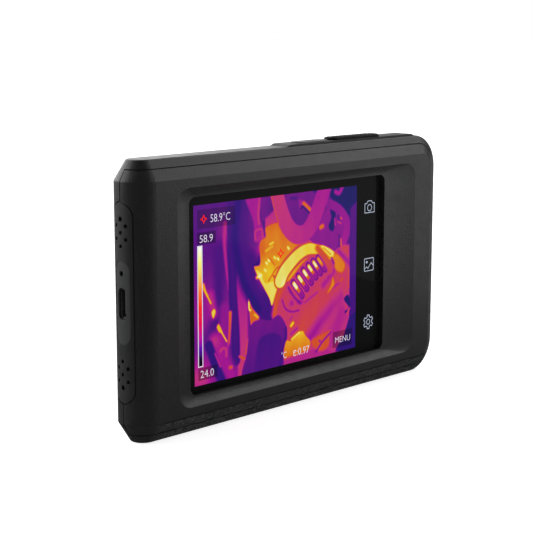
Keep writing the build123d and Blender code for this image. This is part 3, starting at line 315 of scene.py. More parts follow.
def low_band(look):
    """Two masks: the sloping band along the casing's lower edge, and a line of painted shade at the
    fold at its top.

    Both are 0 on the casing's round end and everywhere else."""
    at = look.node("SeparateXYZ", {0: look.place}).outputs
    along = look.remap(at["X"], (BAND_END - BAND_FADE) * MM, BAND_END * MM, 0.0, 1.0)
    low = look.remap(at["Z"], BAND_TOP * MM, (BAND_TOP + 0.2) * MM, 1.0, 0.0)
    # A thin line just around the fold, which is painted dark as shade.
    under = look.remap(at["Z"], (BAND_TOP - 0.3) * MM, (BAND_TOP - 0.15) * MM, 0.0, 1.0)
    over = look.remap(at["Z"], (BAND_TOP + 0.1) * MM, (BAND_TOP + 0.3) * MM, 1.0, 0.0)
    shaded_fold = look.math("MULTIPLY", look.math("MULTIPLY", under, over), along)
    return look.math("MULTIPLY", low, along), shaded_fold


# A black that leans to blue.
COOL = (0.97, 1.0, 1.02)

slot_looks = {
    "casing": moulded("casing_plastic", 0.008, COOL, rough=0.38, grain=0.34, depth=0.04,
                      edge_wear_and_highlight=0.15, spread=0.5, coarse=low_band),
    "button_strip": moulded("strip_plastic", 0.008, COOL, rough=0.5, grain=0.35, depth=0.012,
                            edge_wear_and_highlight=0.3, specular=0.35),
    "end_trim": moulded("end_plastic", 0.01, COOL, rough=0.42, grain=0.3, depth=0.01),
    "port_trim": moulded("port_plastic", 0.026, COOL, rough=0.42, grain=0.3, depth=0.008,
                         edge_wear_and_highlight=0.3),
    "screen_glass": glossy("cover_glass_black", 0.007, COOL, rough=0.02, specular=0.03),
    "adhesive": moulded("foam_tape", 0.02, rough=0.8, grain=0.3, depth=0.05),
    "lcd": glossy("panel_glass", 0.02, rough=0.1),
    "steel_sheet": metal("plated_sheet", 0.56, rough=0.3, brushed=(1.0, 1.0, 9.0)),
    "ribbon": ribbon_film("polyimide_film"),
    "chassis_metal": metal("cast_alloy", 0.42, rough=0.45, grain=0.8),
    "circuit_board": board("solder_mask"),
    "screw_steel": metal("bright_screw", 0.6, rough=0.28),
    "chip_plastic": moulded("chip_epoxy", 0.018, rough=0.55, grain=0.2, depth=0.01),
    "connector_plastic": moulded("connector_nylon", 0.05, rough=0.45, grain=0.3, depth=0.008),
    "battery_foil": foil("pouch_foil"),
    "lead_jacket": moulded("lead_jacket_black", 0.02, rough=0.4, grain=0.4, depth=0.006),
    "key_plastic": moulded("key_plastic_grey", 0.012, COOL, rough=0.42, grain=0.3, depth=0.01,
                           edge_wear_and_highlight=0.4),
    "key_rubber": moulded("key_rubber_black", 0.002, rough=0.55, grain=0.35, depth=0.01,
                          specular=0.09),
    "bezel_gloss": glossy("bezel_piano_black", 0.004, rough=0.05, specular=0.5, coat=0.4),
    "seal_rubber": moulded("seal_rubber_black", 0.012, rough=0.7, grain=0.3, depth=0.01),
    "anodised": metal("black_anodised", 0.045, rough=0.34, grain=0.25),
    "germanium": coated_germanium("coated_germanium"),
    "sensor_ceramic": glossy("package_ceramic", 0.55, (1.0, 0.97, 0.9), rough=0.2),
    "flag_metal": metal("blackened_flag", 0.03, rough=0.5),
    "window_glass": glossy("camera_window_glass", 0.006, (0.8, 0.9, 1.3), rough=0.03, coat=0.5),
    "torch_plastic": torch_cover("torch_moulding"),
    "brass": metal("turned_brass", 0.62, (1.0, 0.78, 0.42), rough=0.28),
    "screw_black": metal("black_oxide", 0.035, rough=0.4),
}

for part in frame["record"]["subparts"]:
    node = frame["nodes"][part["node"]]
    node.data.materials.clear()
    node.data.materials.append(slot_looks[part["material_slot"]])


# ------------------------------------------------------------- the lit picture

# The picture is drawn on a sheet 100 wide and 75 high, measured from its top left corner.
PICTURE_WIDE = 100.0
PICTURE_HIGH = 75.0
GRID = (280, 210)

# The panel's unlit border, in millimetres. It is wider where the panel's ribbon leaves.
PANEL_BORDER = 1.6
PANEL_LEDGE = 3.0

panel_low, panel_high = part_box("lcd_panel")
glass_low, glass_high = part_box("cover_glass")
PICTURE_LEFT = panel_low.x / MM + PANEL_BORDER
PICTURE_RIGHT = panel_high.x / MM - PANEL_LEDGE
PICTURE_TOP = panel_high.z / MM - PANEL_BORDER
UNIT = (PICTURE_RIGHT - PICTURE_LEFT) / PICTURE_WIDE
GLASS_FRONT = glass_low.y / MM

# How far the layers lie in front of the glass, in millimetres. The icons lie clear of the picture.
PICTURE_LIFT = 0.012
SCALE_LIFT = 0.036
LABEL_LIFT = 0.048
MARK_LIFT = 0.06
ICON_LIFT = 0.012

# A gap wider than any on the sheet, and a number that keeps a division from failing.
FAR = 1e9
TINY = 1e-9


def sheet_x(u):
    return PICTURE_LEFT + u * UNIT


def sheet_z(v):
    return PICTURE_TOP - v * UNIT


def smooth(points, steps=6, closed=False):
    """A line through the given points with rounded corners."""
    count = len(points)
    out = []
    spans = count if closed else count - 1
    for index in range(spans):
        near = []
        for offset in (-1, 0, 1, 2):
            at = index + offset
            near.append(points[at % count if closed else min(max(at, 0), count - 1)])
        before, start, end, after = (np.array(point, float) for point in near)
        for step in range(steps):
            t = step / steps
            bend = 2 * start + (end - before) * t
            bend = bend + (2 * before - 5 * start + 4 * end - after) * t * t
            bend = bend + (3 * start - before - 3 * end + after) * t * t * t
            out.append(bend / 2)
    if not closed:
        out.append(np.array(points[-1], float))
    return np.array(out)


BACKGROUND_HEAT = 0.31
BACKGROUND_RIPPLE = 0.006


class Picture:
    """Heat from 0, cold, to 1, hot, over the sheet.

    In all its calls soft is the width of a shape's blurred border."""

    def __init__(self):
        across = np.linspace(0, PICTURE_WIDE, GRID[0] + 1)
        down = np.linspace(0, PICTURE_HIGH, GRID[1] + 1)
        self.u, self.v = np.meshgrid(across, down)
        self.heat = np.full(self.u.shape, BACKGROUND_HEAT)
        self.shade = np.zeros(self.u.shape)

    def run_from(self, start, step):
        """How far along a straight run the sheet's points lie, 0 to 1, and how far off it."""
        size = max(float(step @ step), TINY)
        along = (self.u - start[0]) * step[0] + (self.v - start[1]) * step[1]
        t = np.clip(along / size, 0, 1)
        gap = np.hypot(self.u - start[0] - t * step[0], self.v - start[1] - t * step[1])
        return t, gap

    def lay(self, mask, heat):
        self.heat = self.heat * (1 - mask) + heat * mask

    def hose(self, points, width, heat, soft=0.5, round_off=0.0, end_width=None, end_heat=None):
        """A tube along the points. round_off cools its two sides, as on a round pipe.

        Its width and heat may drift to end_width and end_heat."""
        line = smooth(points)
        end_width = width if end_width is None else end_width
        end_heat = heat if end_heat is None else end_heat
        best = np.full(self.u.shape, FAR)
        along = np.zeros(self.u.shape)
        for index in range(len(line) - 1):
            t, gap = self.run_from(line[index], line[index + 1] - line[index])
            nearer = gap < best
            best = np.where(nearer, gap, best)
            along = np.where(nearer, (index + t) / (len(line) - 1), along)
        half = (width + (end_width - width) * along) / 2
        level = heat + (end_heat - heat) * along
        level = level - round_off * np.clip(best / half, 0, 1) ** 2
        self.lay(np.clip((half - best) / soft + 0.5, 0, 1), level)

    def patch(self, points, heat, soft=0.6, end_heat=None, slope=(0, 1), rounded=True):
        """A filled outline. Its heat may drift to end_heat along slope."""
        line = smooth(points, 5, closed=True) if rounded else np.array(points, float)
        inside = np.zeros(self.u.shape, bool)
        best = np.full(self.u.shape, FAR)
        for start, end in zip(line, np.roll(line, -1, axis=0)):
            step = end - start
            best = np.minimum(best, self.run_from(start, step)[1])
            crosses = (start[1] > self.v) != (end[1] > self.v)
            rise = step[1] if abs(step[1]) > TINY else TINY
            inside ^= crosses & (self.u < start[0] + (self.v - start[1]) * step[0] / rise)
        signed = np.where(inside, best, -best)
        level = heat
        if end_heat is not None:
            reach = line @ np.array(slope, float)
            t = (self.u * slope[0] + self.v * slope[1] - reach.min()) / (np.ptp(reach) + TINY)
            level = heat + (end_heat - heat) * np.clip(t, 0, 1)
        self.lay(np.clip(signed / soft + 0.5, 0, 1), level)

    def glow(self, at, radius, heat, strength=1.0):
        """A round blur of heat."""
        gap = np.hypot(self.u - at[0], self.v - at[1]) / radius
        self.lay(strength * np.exp(-gap * gap), heat)

    def dim(self, low, high, share):
        """A dark see-through plate behind a label."""
        inside = (self.u > low[0]) & (self.u < high[0]) & (self.v > low[1]) & (self.v < high[1])
        self.shade = np.where(inside, share, self.shade)


def draw_left_pipes(art):
    """Cool pipes down the left of the picture, with a few leaking hot spots."""
    art.glow((8, 44), 14, 0.46)
    art.glow((3, 72), 9, 0.6)
    art.glow((18, 12), 4, 0.5, 0.7)
    art.hose([(15, 20), (14, 34), (13, 46), (9, 56)], 6, 0.27, 4.0)
    art.hose([(9, 38), (11, 46)], 4, 0.56, 3.0)
    art.hose([(17.8, 9), (17.2, 16), (17.6, 22), (18.6, 30), (19.8, 37)], 2.4, 0.57, 1.2,
              end_width=1.0)
    art.hose([(17, 45), (16.5, 60)], 6, 0.44, 3.0)
    art.hose([(26.5, 34), (27.5, 50), (27.5, 75)], 6.5, 0.48, 1.5, end_heat=0.64)
    art.hose([(31, 60), (29.6, 66)], 0.9, 0.74, 0.8)
    art.hose([(21.5, 20), (22, 40), (23.3, 55), (23.7, 68)], 4.6, 0.25, 0.9, round_off=0.05)
    art.hose([(20.4, 47), (20.1, 53), (19.4, 60)], 1.9, 0.78, 0.8, end_width=1.2, end_heat=0.72)
    art.hose([(19.0, 60), (18.2, 66)], 1.2, 0.56, 1.0)
    art.hose([(12, 58), (16, 66), (21, 74)], 7, 0.5, 4.0)
    art.glow((11, 57.5), 3.2, 0.6, 0.8)
    art.hose([(8, 59), (11, 66), (15.5, 76)], 4.4, 0.2, 1.2)
    art.hose([(11.5, 63), (14.5, 69)], 0.7, 0.66, 0.9)
    art.hose([(14.5, 62.5), (16, 61.5), (17.6, 62), (18, 65)], 1.0, 0.64, 0.9)
    art.hose([(20, 70.4), (21, 70.4)], 1.4, 0.75, 1.0)
    art.hose([(25.6, 66.6), (28.8, 68.2)], 1.1, 0.74, 0.8)
    art.hose([(5, 33.2), (6, 35.6), (7.4, 38)], 2.0, 0.86, 0.8, end_width=1.0, end_heat=0.95)
    art.hose([(7.4, 38), (9.3, 41.3)], 0.9, 0.92, 0.6)
    art.patch([(9.6, 45.2), (11.2, 43.9), (12, 45.4), (10.6, 48)], 0.93)
    art.patch([(13.6, 50.6), (12.5, 52), (14, 54.4), (15.8, 54.6), (14.9, 52.4)], 0.9)
    art.hose([(15.4, 54.6), (18.2, 58.8)], 0.8, 0.95, 0.6)


def draw_cold_hose(art):
    """The wide cold hose that comes down from the top and bends to the right."""
    art.patch([(20, -2), (33, -2), (35.5, 8), (37, 19), (37.6, 27), (34.6, 29), (36, 33), (40, 39),
               (43.6, 43.5), (46.4, 49), (45, 54), (38.5, 52), (34, 46.5), (29.5, 40), (26, 32),
               (21.5, 24), (19.2, 18)], 0.27, 0.9, 0.24)
    art.hose([(25.5, -1), (23, 14), (25, 26), (29, 37), (36.5, 48)], 4.0, 0.2, 3.5, end_heat=0.16)
    art.hose([(37.8, 24), (37.2, 27.6), (34.8, 28.8)], 1.3, 0.08, 1.2)
    art.hose([(32, 8), (33, 20)], 5, 0.33, 4.0)


def draw_top(art):
    """What lies behind the hanging hose along the top."""
    art.patch([(29.5, -1), (38.4, -1), (37.8, 8), (40.6, 16), (37.5, 18.6), (34.5, 18), (34, 10)],
               0.5, 1.2)
    art.hose([(38.2, -1), (37.1, 6), (37.4, 11)], 1.1, 0.63, 0.9)
    art.hose([(35.4, 17.6), (35.2, 14.2), (39, 13.6), (39.8, 17)], 0.8, 0.62, 0.7)
    art.patch([(38.4, -1), (44, -1), (47.5, 8), (41.5, 9), (41, 15), (39.6, 12)], 0.4, 1.0, 0.28,
               (1, 0.2))
    art.patch([(41, 10), (43.5, 8), (47.4, 6.5), (52, 13), (49, 16), (42, 16)], 0.57, 1.0)
    art.hose([(40.3, 10.5), (40.8, 16.5)], 1.0, 0.22, 0.8)
    art.patch([(52, -1), (76, -1), (69, 14), (58, 14)], 0.38, 1.0, 0.34)
    art.hose([(57, 2), (60, 2.2)], 1.2, 0.26, 1.4)
    art.hose([(72, -1), (76, 0)], 3.0, 0.14, 1.5)


def draw_hot_core(art):
    """The hot casting in the middle, with small fittings on it."""
    art.patch([(41.6, 13), (50, 12), (54, 17), (62, 21), (72, 22.4), (80, 25.5), (86, 29), (84, 34),
               (70, 34), (56, 40), (50, 40), (47.6, 43.4), (45.2, 47.6), (43.6, 44), (40, 38.6),
               (36.4, 33.4), (34.4, 29), (38, 28.4), (37.8, 19.4), (41.4, 17)], 0.76, 0.5, 0.92)
    art.glow((39.5, 22), 3.5, 0.76, 0.8)
    art.glow((46, 17.5), 5, 0.82, 0.8)
    art.glow((43, 33), 5, 0.91, 0.9)
    art.patch([(35.6, 31), (38.4, 32.6), (41, 37), (46, 37), (49, 39), (46.8, 44), (45.2, 47.2),
               (43.6, 44), (40, 38.4)], 0.95, 0.7)
    art.hose([(41.5, 23.2), (45.5, 21.6)], 1.2, 0.88, 0.6)
    art.hose([(44, 20.6), (46, 20)], 0.9, 0.95, 0.6)
    art.hose([(36.2, 34), (38.6, 33.4)], 1.6, 0.98, 1.2)
    for spot in ((41.6, 28.2), (43, 27.2), (46.6, 26.4), (48.6, 27.2), (40.8, 31.2), (55, 23.2)):
        art.hose([spot, (spot[0] + 0.7, spot[1] + 0.7)], 1.0, 0.99, 0.8)
    art.hose([(43.4, 26.2), (46.8, 29.8)], 0.6, 0.76, 0.6)
    art.hose([(47.4, 23.2), (50, 26.6)], 0.6, 0.8, 0.6)
    art.hose([(43.2, 36.4), (47.4, 32), (50, 31)], 0.6, 0.74, 0.5)
    art.hose([(46.2, 34.6), (50.2, 38.8)], 0.9, 0.7, 0.5)


def draw_collar(art):
    """The bright curved collar over the grille."""
    arc = [(50.4, 37.2), (53, 33.4), (58, 29.4), (63, 26.6), (68, 25.4), (74, 26.0)]
    art.hose(arc, 7.8, 0.66, 0.8)
    art.hose(arc, 6.6, 0.965, 0.6, round_off=-0.01, end_width=4.6, end_heat=0.92)


def draw_housing(art):
    """The warm ribbed housing that fills the lower right."""
    art.patch([(49.6, 39.4), (56, 37.8), (64, 31.6), (71, 28.4), (76, 28.6), (82, 32), (96, 34),
               (96, 58), (93, 66), (87, 76), (50, 76), (54, 66), (54.4, 60), (49.6, 52.6),
               (45.4, 53.4), (47, 49.6), (46.6, 46)], 0.64, 0.6)
    art.hose([(46.6, 51.5), (48.4, 45), (51.5, 40)], 3.0, 0.74, 2.0)
    art.hose([(61, 68), (68, 56), (80, 46), (93, 40)], 9.0, 0.71, 6.0, end_heat=0.64)
    art.hose([(69, 66), (76, 60), (84, 54), (93, 48)], 5.0, 0.47, 4.5, end_heat=0.56)
    art.hose([(84, 68), (91, 58)], 9.0, 0.54, 5.0)
    art.hose([(78, 43), (84, 38), (88, 34)], 2.4, 0.5, 2.4)
    art.hose([(88, 43.6), (84, 45)], 1.0, 0.5, 1.2)
    art.hose([(66, 49), (74, 45.6)], 0.9, 0.5, 0.9)
    art.hose([(57, 62), (61, 60)], 1.2, 0.5, 1.2)
    art.hose([(58, 54), (56.6, 55.6)], 0.6, 0.48, 0.6)
    art.hose([(56, 44), (59, 47.4), (64, 48.6)], 1.4, 0.48, 1.6)
    art.patch([(55.5, 43.4), (52.6, 46), (55.6, 50.4), (59.4, 50), (60.4, 47)], 0.66, 1.0)
    art.glow((57.6, 48.2), 1.6, 0.5)
    art.hose([(51.6, 46), (53.6, 50), (57.6, 52), (62, 52)], 0.8, 0.42, 0.7)
    art.hose([(60.8, 68), (63, 74)], 1.5, 0.5, 3.0)
    art.hose([(57.2, 58.2), (58.4, 57.2)], 1.6, 0.92, 0.8)


def draw_grille(art):
    """Six slanted slots with hot metal behind their upper ends."""
    slots = 6
    along = Vector((0.66, 0.75)).normalized()
    for index in range(slots):
        start = Vector((58.6 + 3.15 * index, 39.4 - 2.75 * index + 0.19 * index * index))
        length = 8.2 - 0.25 * index
        tail = start + along * length
        art.hose([start - along * 0.4, tail + along * 0.4], 3.0, 0.3, 0.7)
        art.hose([start, tail], 1.9, 0.77, 0.6)
        bright = 0.985 if index < slots - 1 else 0.86
        art.hose([start + along * 0.6, start + along * 3.0], 1.9 - 0.12 * index, bright, 0.6)
        art.hose([tail - along * 1.2, tail], 1.7, 0.42, 1.0)
    art.hose([(55.4, 41), (59, 45.6), (63, 49)], 1.1, 0.4, 0.8)


def draw_hanging_hose(art):
    """The thick hose that hangs in a loop from the top."""
    art.patch([(62, 3.2), (66, 4.6), (71, 9), (70.2, 10.4), (64.4, 6.4), (63, 8)], 0.5, 1.0)
    art.hose([(65, 5), (70.6, 9.4)], 2.0, 0.78, 0.9)
    art.hose([(63.2, 7.2), (64.4, 6.2), (69.6, 10.2)], 0.7, 0.1, 0.6)
    loop = [(47, -4), (50.6, 6), (54.6, 13.6), (60, 18), (66, 18), (71, 13.6), (75.6, 5.4),
            (80, -4)]
    art.hose(loop, 7.8, 0.625, 0.5, round_off=0.01, end_width=8.6, end_heat=0.5)
    art.hose([(44.8, -1), (46.6, 5.6), (49.4, 12)], 0.5, 0.74, 0.6)


def draw_right(art):
    """The cool corner at the top right and the warm stays under it."""
    art.patch([(82, -2), (102, -2), (102, 13), (97.6, 14.6), (93.4, 12), (87, 7.4), (83.4, 5)],
               0.09, 0.8, 0.13)
    art.patch([(76, 14), (81, 7.4), (88, 10), (91.8, 14.4), (92, 20), (89, 24), (88.4, 27),
               (86.6, 28.4), (83, 27.8), (76, 24.6), (69.6, 21.6)], 0.45, 0.8, 0.42)
    art.patch([(82.2, 9), (85.6, 10.6), (84.8, 18), (82.8, 18.8), (81.2, 16.6), (83, 13)], 0.11,
               1.0)
    art.hose([(81.6, 6.6), (87.6, 9.4), (92.6, 14.4), (93.6, 20), (91, 25.4)], 4.4, 0.43, 0.8,
              end_heat=0.5)
    art.hose([(88.4, 21.5), (88.2, 26), (86.4, 28)], 0.9, 0.3, 0.9)
    art.hose([(89.4, 23.4), (89.8, 27)], 0.8, 0.82, 0.8)
    art.hose([(85.2, 13.6), (85.4, 16.4)], 0.8, 0.62, 0.8)
    art.hose([(87.4, 12.6), (88.2, 14.6)], 1.4, 0.3, 1.2)
    art.hose([(89.3, 13.8), (89.6, 14)], 0.9, 0.8, 0.8)
    art.hose([(87.4, 15.2), (89.4, 16.2)], 0.7, 0.68, 0.8)
    art.hose([(76, 16.6), (77.2, 16.2)], 2.2, 0.78, 0.8)
    art.hose([(85.6, 1.6), (88, 2.4), (90, 0)], 2.2, 0.5, 0.8)
    art.patch([(75.4, 25.6), (77.6, 24.8), (84.4, 28.2), (83.6, 31), (80.6, 29.4)], 0.96, 0.6)
    art.hose([(78, 26), (82.6, 29.6)], 0.5, 0.8, 0.5)
    art.hose([(74, 25.6), (79.6, 31.4), (82.6, 37)], 3.0, 0.74, 1.4, end_heat=0.66)
    art.patch([(86, 28), (93.6, 26.4), (95.4, 30), (95.4, 60), (90, 45), (86, 34)], 0.66, 1.0, 0.62)
    art.hose([(88, 29), (95.6, 35)], 2.6, 0.5, 1.8)
    art.patch([(85, 30.4), (87.6, 30), (92.4, 35), (91, 38.6), (88, 38.2), (85.4, 36)], 0.81, 1.2)
    art.hose([(83.4, 31.4), (84.8, 34)], 1.0, 0.4, 0.8)
    art.patch([(84.2, 40), (85.4, 43.4), (83.8, 45.2), (80.6, 47), (83, 43.4)], 0.83, 0.9)
    art.hose([(89.8, 42.4), (90.8, 41.6)], 1.0, 0.76, 1.0)
    art.hose([(95.2, 38), (95.2, 46)], 0.9, 0.74, 0.7)
    art.patch([(95.6, 10), (102, 6), (102, 80), (95.6, 80)], 0.31, 0.7, 0.22, rounded=False)
    art.patch([(93.6, 49.8), (95.4, 50.4), (96, 55.6), (94.6, 54.4), (92, 51.4)], 0.12, 0.6)
    art.hose([(95.6, 55.4), (94.6, 56.8), (93, 57.4)], 0.9, 0.06, 0.6)
    art.hose([(94.4, 58), (95.6, 56)], 1.2, 0.7, 0.8)
    art.patch([(96.4, 60), (102, 60), (102, 80), (85, 80), (87, 73.4), (91.6, 69), (94, 64)], 0.16,
               0.8, 0.2)


def draw_bottom(art):
    """The cool block at the bottom centre and the hot edge beside it."""
    art.patch([(31, 42.6), (33.4, 46.8), (37.6, 51.4), (35.4, 53.6), (32.6, 54.6), (31.6, 49)],
               0.77, 0.6)
    art.hose([(31.2, 44), (31.4, 47), (32.2, 47.6)], 0.9, 0.98, 0.6)
    art.hose([(34.6, 49.8), (36.4, 51.2)], 0.8, 0.93, 0.8)
    art.patch([(53.6, 65), (57, 65), (60.6, 63), (64.4, 61.6), (66.4, 64), (69.6, 67.4), (68, 71),
               (60, 72.4), (49.6, 75)], 0.9, 0.5, 0.74)
    art.hose([(57.6, 64.4), (60.6, 62.8), (62.6, 62)], 0.9, 0.98, 0.7)
    art.patch([(50, 76), (54, 72.6), (64, 72), (74, 71), (84, 73.6), (86, 76)], 0.55, 1.4)
    art.patch([(70, 67.4), (76, 65.4), (83.4, 64.6), (82.6, 70), (79, 72.8), (74, 72)], 0.74, 1.2)
    art.hose([(73.4, 72.6), (77.6, 68.8), (83.4, 65.2)], 0.8, 0.34, 0.6)
    art.hose([(75.6, 68), (76.4, 68.4)], 0.8, 0.4, 0.7)
    art.hose([(83.2, 66.6), (83, 72)], 1.6, 0.54, 1.0)
    art.patch([(32.4, 54.4), (38, 52.6), (44, 53.8), (49.8, 52.4), (54.2, 58), (54.4, 62),
               (52.6, 68), (50.2, 77), (28, 77), (30, 66)], 0.37, 0.5, 0.29, (0.2, 1))
    art.patch([(35.4, 78), (36, 66), (38, 61), (44, 59.6), (50, 61.6), (51.6, 67), (49, 78)], 0.25,
               1.4, 0.29)
    art.hose([(53.8, 58.6), (53.8, 62.4), (51.6, 69), (50, 75)], 0.9, 0.22, 0.9)


def draw_label_plates(art):
    """Dark plates behind the readings and the menu key."""
    art.dim((2, 2), (23.4, 10), 0.42)
    art.dim((2, 11.4), (12.3, 16.3), 0.55)
    art.dim((2, 67.8), (12.6, 72.9), 0.55)
    art.dim((84.3, 65.5), (97.7, 73.2), 0.55)


def thermal_picture():
    """Warm machinery among hoses, drawn from back to front."""
    art = Picture()
    for draw in (draw_left_pipes, draw_cold_hose, draw_top, draw_hot_core, draw_housing,
                 draw_collar, draw_grille, draw_right, draw_hanging_hose, draw_bottom,
                 draw_label_plates):
        draw(art)
    ripple = BACKGROUND_RIPPLE * np.sin(art.u * 0.9 + 2.0 * np.sin(art.v * 0.11))
    art.heat = np.clip(art.heat + ripple, 0, 1)
    return art


def on_sheet(u, v, lift):
    """A point of the picture sheet, in metres, lift millimetres in front of the glass."""
    return (sheet_x(u) * MM, (GLASS_FRONT - lift) * MM, sheet_z(v) * MM)


def grid_mesh(name, low, high, cells, lift):
    """A fine flat grid over part of the sheet, facing the viewer."""
    across = np.linspace(low[0], high[0], cells[0] + 1)
    down = np.linspace(low[1], high[1], cells[1] + 1)
    points = [on_sheet(u, v, lift) for v in down for u in across]
    row = cells[0] + 1
    faces = []
    for j in range(cells[1]):
        for i in range(cells[0]):
            first = j * row + i
            faces.append((first, first + row, first + row + 1, first + 1))
    mesh = bpy.data.meshes.new(name)
    mesh.from_pydata(points, [], faces)
    return mesh


def add_values(mesh, name, values):
    """Stores one number on each of the mesh's points."""
    layer = mesh.attributes.new(name, "FLOAT", "POINT")
    layer.data.foreach_set("value", np.asarray(values, dtype=np.float32).ravel())


def add_piece(name, mesh, material):
    piece = bpy.data.objects.new(name, mesh)
    bpy.context.scene.collection.objects.link(piece)
    piece.data.materials.clear()
    piece.data.materials.append(material)
    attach(piece, "root")


HEAT_COLOURS = [
    (0.00, screen(8, 10, 44)), (0.10, screen(28, 26, 100)), (0.20, screen(50, 14, 122)),
    (0.30, screen(84, 15, 130)), (0.40, screen(124, 18, 138)), (0.50, screen(166, 18, 146)),
    (0.60, screen(196, 48, 124)), (0.67, screen(206, 60, 82)), (0.73, screen(212, 76, 42)),
    (0.79, screen(222, 112, 24)), (0.86, screen(230, 158, 30)), (0.92, screen(234, 204, 34)),
    (0.965, screen(236, 224, 110)), (1.00, screen(250, 246, 222)),
]

SCALE_COLOURS = [
    (0.00, screen(2, 0, 10)), (0.06, screen(14, 0, 40)), (0.15, screen(96, 0, 176)),
    (0.24, screen(200, 0, 160)), (0.36, screen(240, 0, 80)), (0.50, screen(255, 44, 24)),
    (0.62, screen(255, 122, 50)), (0.76, screen(252, 204, 92)), (0.88, screen(252, 252, 130)),
    (1.00, screen(255, 255, 252)),
]


# Values on the points of the lit meshes, and how much the glass over them reflects.
WARMTH = "warmth"
LABEL_SHADE = "label_shade"
LIT_SPECULAR = 0.04


def lit_look(name, colours):
    """A lit display behind coated glass, coloured from the warmth on the mesh's points."""
    look = Look(name)
    warmth = look.node("Attribute", attribute_name=WARMTH).outputs["Fac"]
    shade = look.node("Attribute", attribute_name=LABEL_SHADE).outputs["Fac"]
    colour = look.ramp(warmth, colours)
    rows = look.noise(0.6, 1.0)
    dimmed = look.mix(shade, colour, grey(0.002))
    flicker = look.mix(look.math("MULTIPLY", rows, 0.05), dimmed, grey(0.0))
    look.set(Base_Color=grey(0.004), Emission_Strength=0.96, Specular_IOR_Level=LIT_SPECULAR)
    roughness = look.remap(smears(look), 0.35, 0.7, 0.03, 0.09)
    return look.set(Emission_Color=flicker, Roughness=roughness)


def lit_plain(name, colour):
    """One colour of a lit label, a little uneven as a backlight is."""
    look = Look(name)
    uneven = look.mix(look.noise(2.0, 2.0), grey(0.86, colour), grey(1.0, colour))
    look.set(Base_Color=grey(0.01), Emission_Strength=1.0, Specular_IOR_Level=LIT_SPECULAR)
    roughness = look.remap(look.noise(9.0), 0.3, 0.7, 0.04, 0.1)
    return look.set(Emission_Color=uneven, Roughness=roughness)


art = thermal_picture()
sheet_end = (PICTURE_WIDE, PICTURE_HIGH)
picture_mesh = grid_mesh("display_picture", (0, 0), sheet_end, GRID, PICTURE_LIFT)
add_values(picture_mesh, WARMTH, art.heat)
add_values(picture_mesh, LABEL_SHADE, art.shade)
add_piece("display_picture", picture_mesh, lit_look("lit_picture", HEAT_COLOURS))

# The scale bar, hot at the top.
SCALE_LOW = (2.35, 17.1)
SCALE_HIGH = (4.3, 66.9)
SCALE_GRID = (2, 60)
SCALE_RIM = 0.25
SCALE_LINE = 0.3

scale_mesh = grid_mesh("display_scale", SCALE_LOW, SCALE_HIGH, SCALE_GRID, SCALE_LIFT)
bar_warmth = np.repeat(np.linspace(1, 0, SCALE_GRID[1] + 1), SCALE_GRID[0] + 1)
add_values(scale_mesh, WARMTH, bar_warmth)
add_values(scale_mesh, LABEL_SHADE, np.zeros(len(bar_warmth)))
add_piece("display_scale", scale_mesh, lit_look("lit_scale", SCALE_COLOURS))


# -------------------------------------------------------- labels, marks, icons


def polar(centre, radius, angle):
    return (centre[0] + radius * math.cos(angle), centre[1] + radius * math.sin(angle))


# Negative, which thins the letters.
LETTER_OFFSET = -0.009
LETTER_CURVE_STEPS = 3

# A corner sharper than this is cut short, so that its mitre doesn't run away.
LEAST_MITRE = 0.35


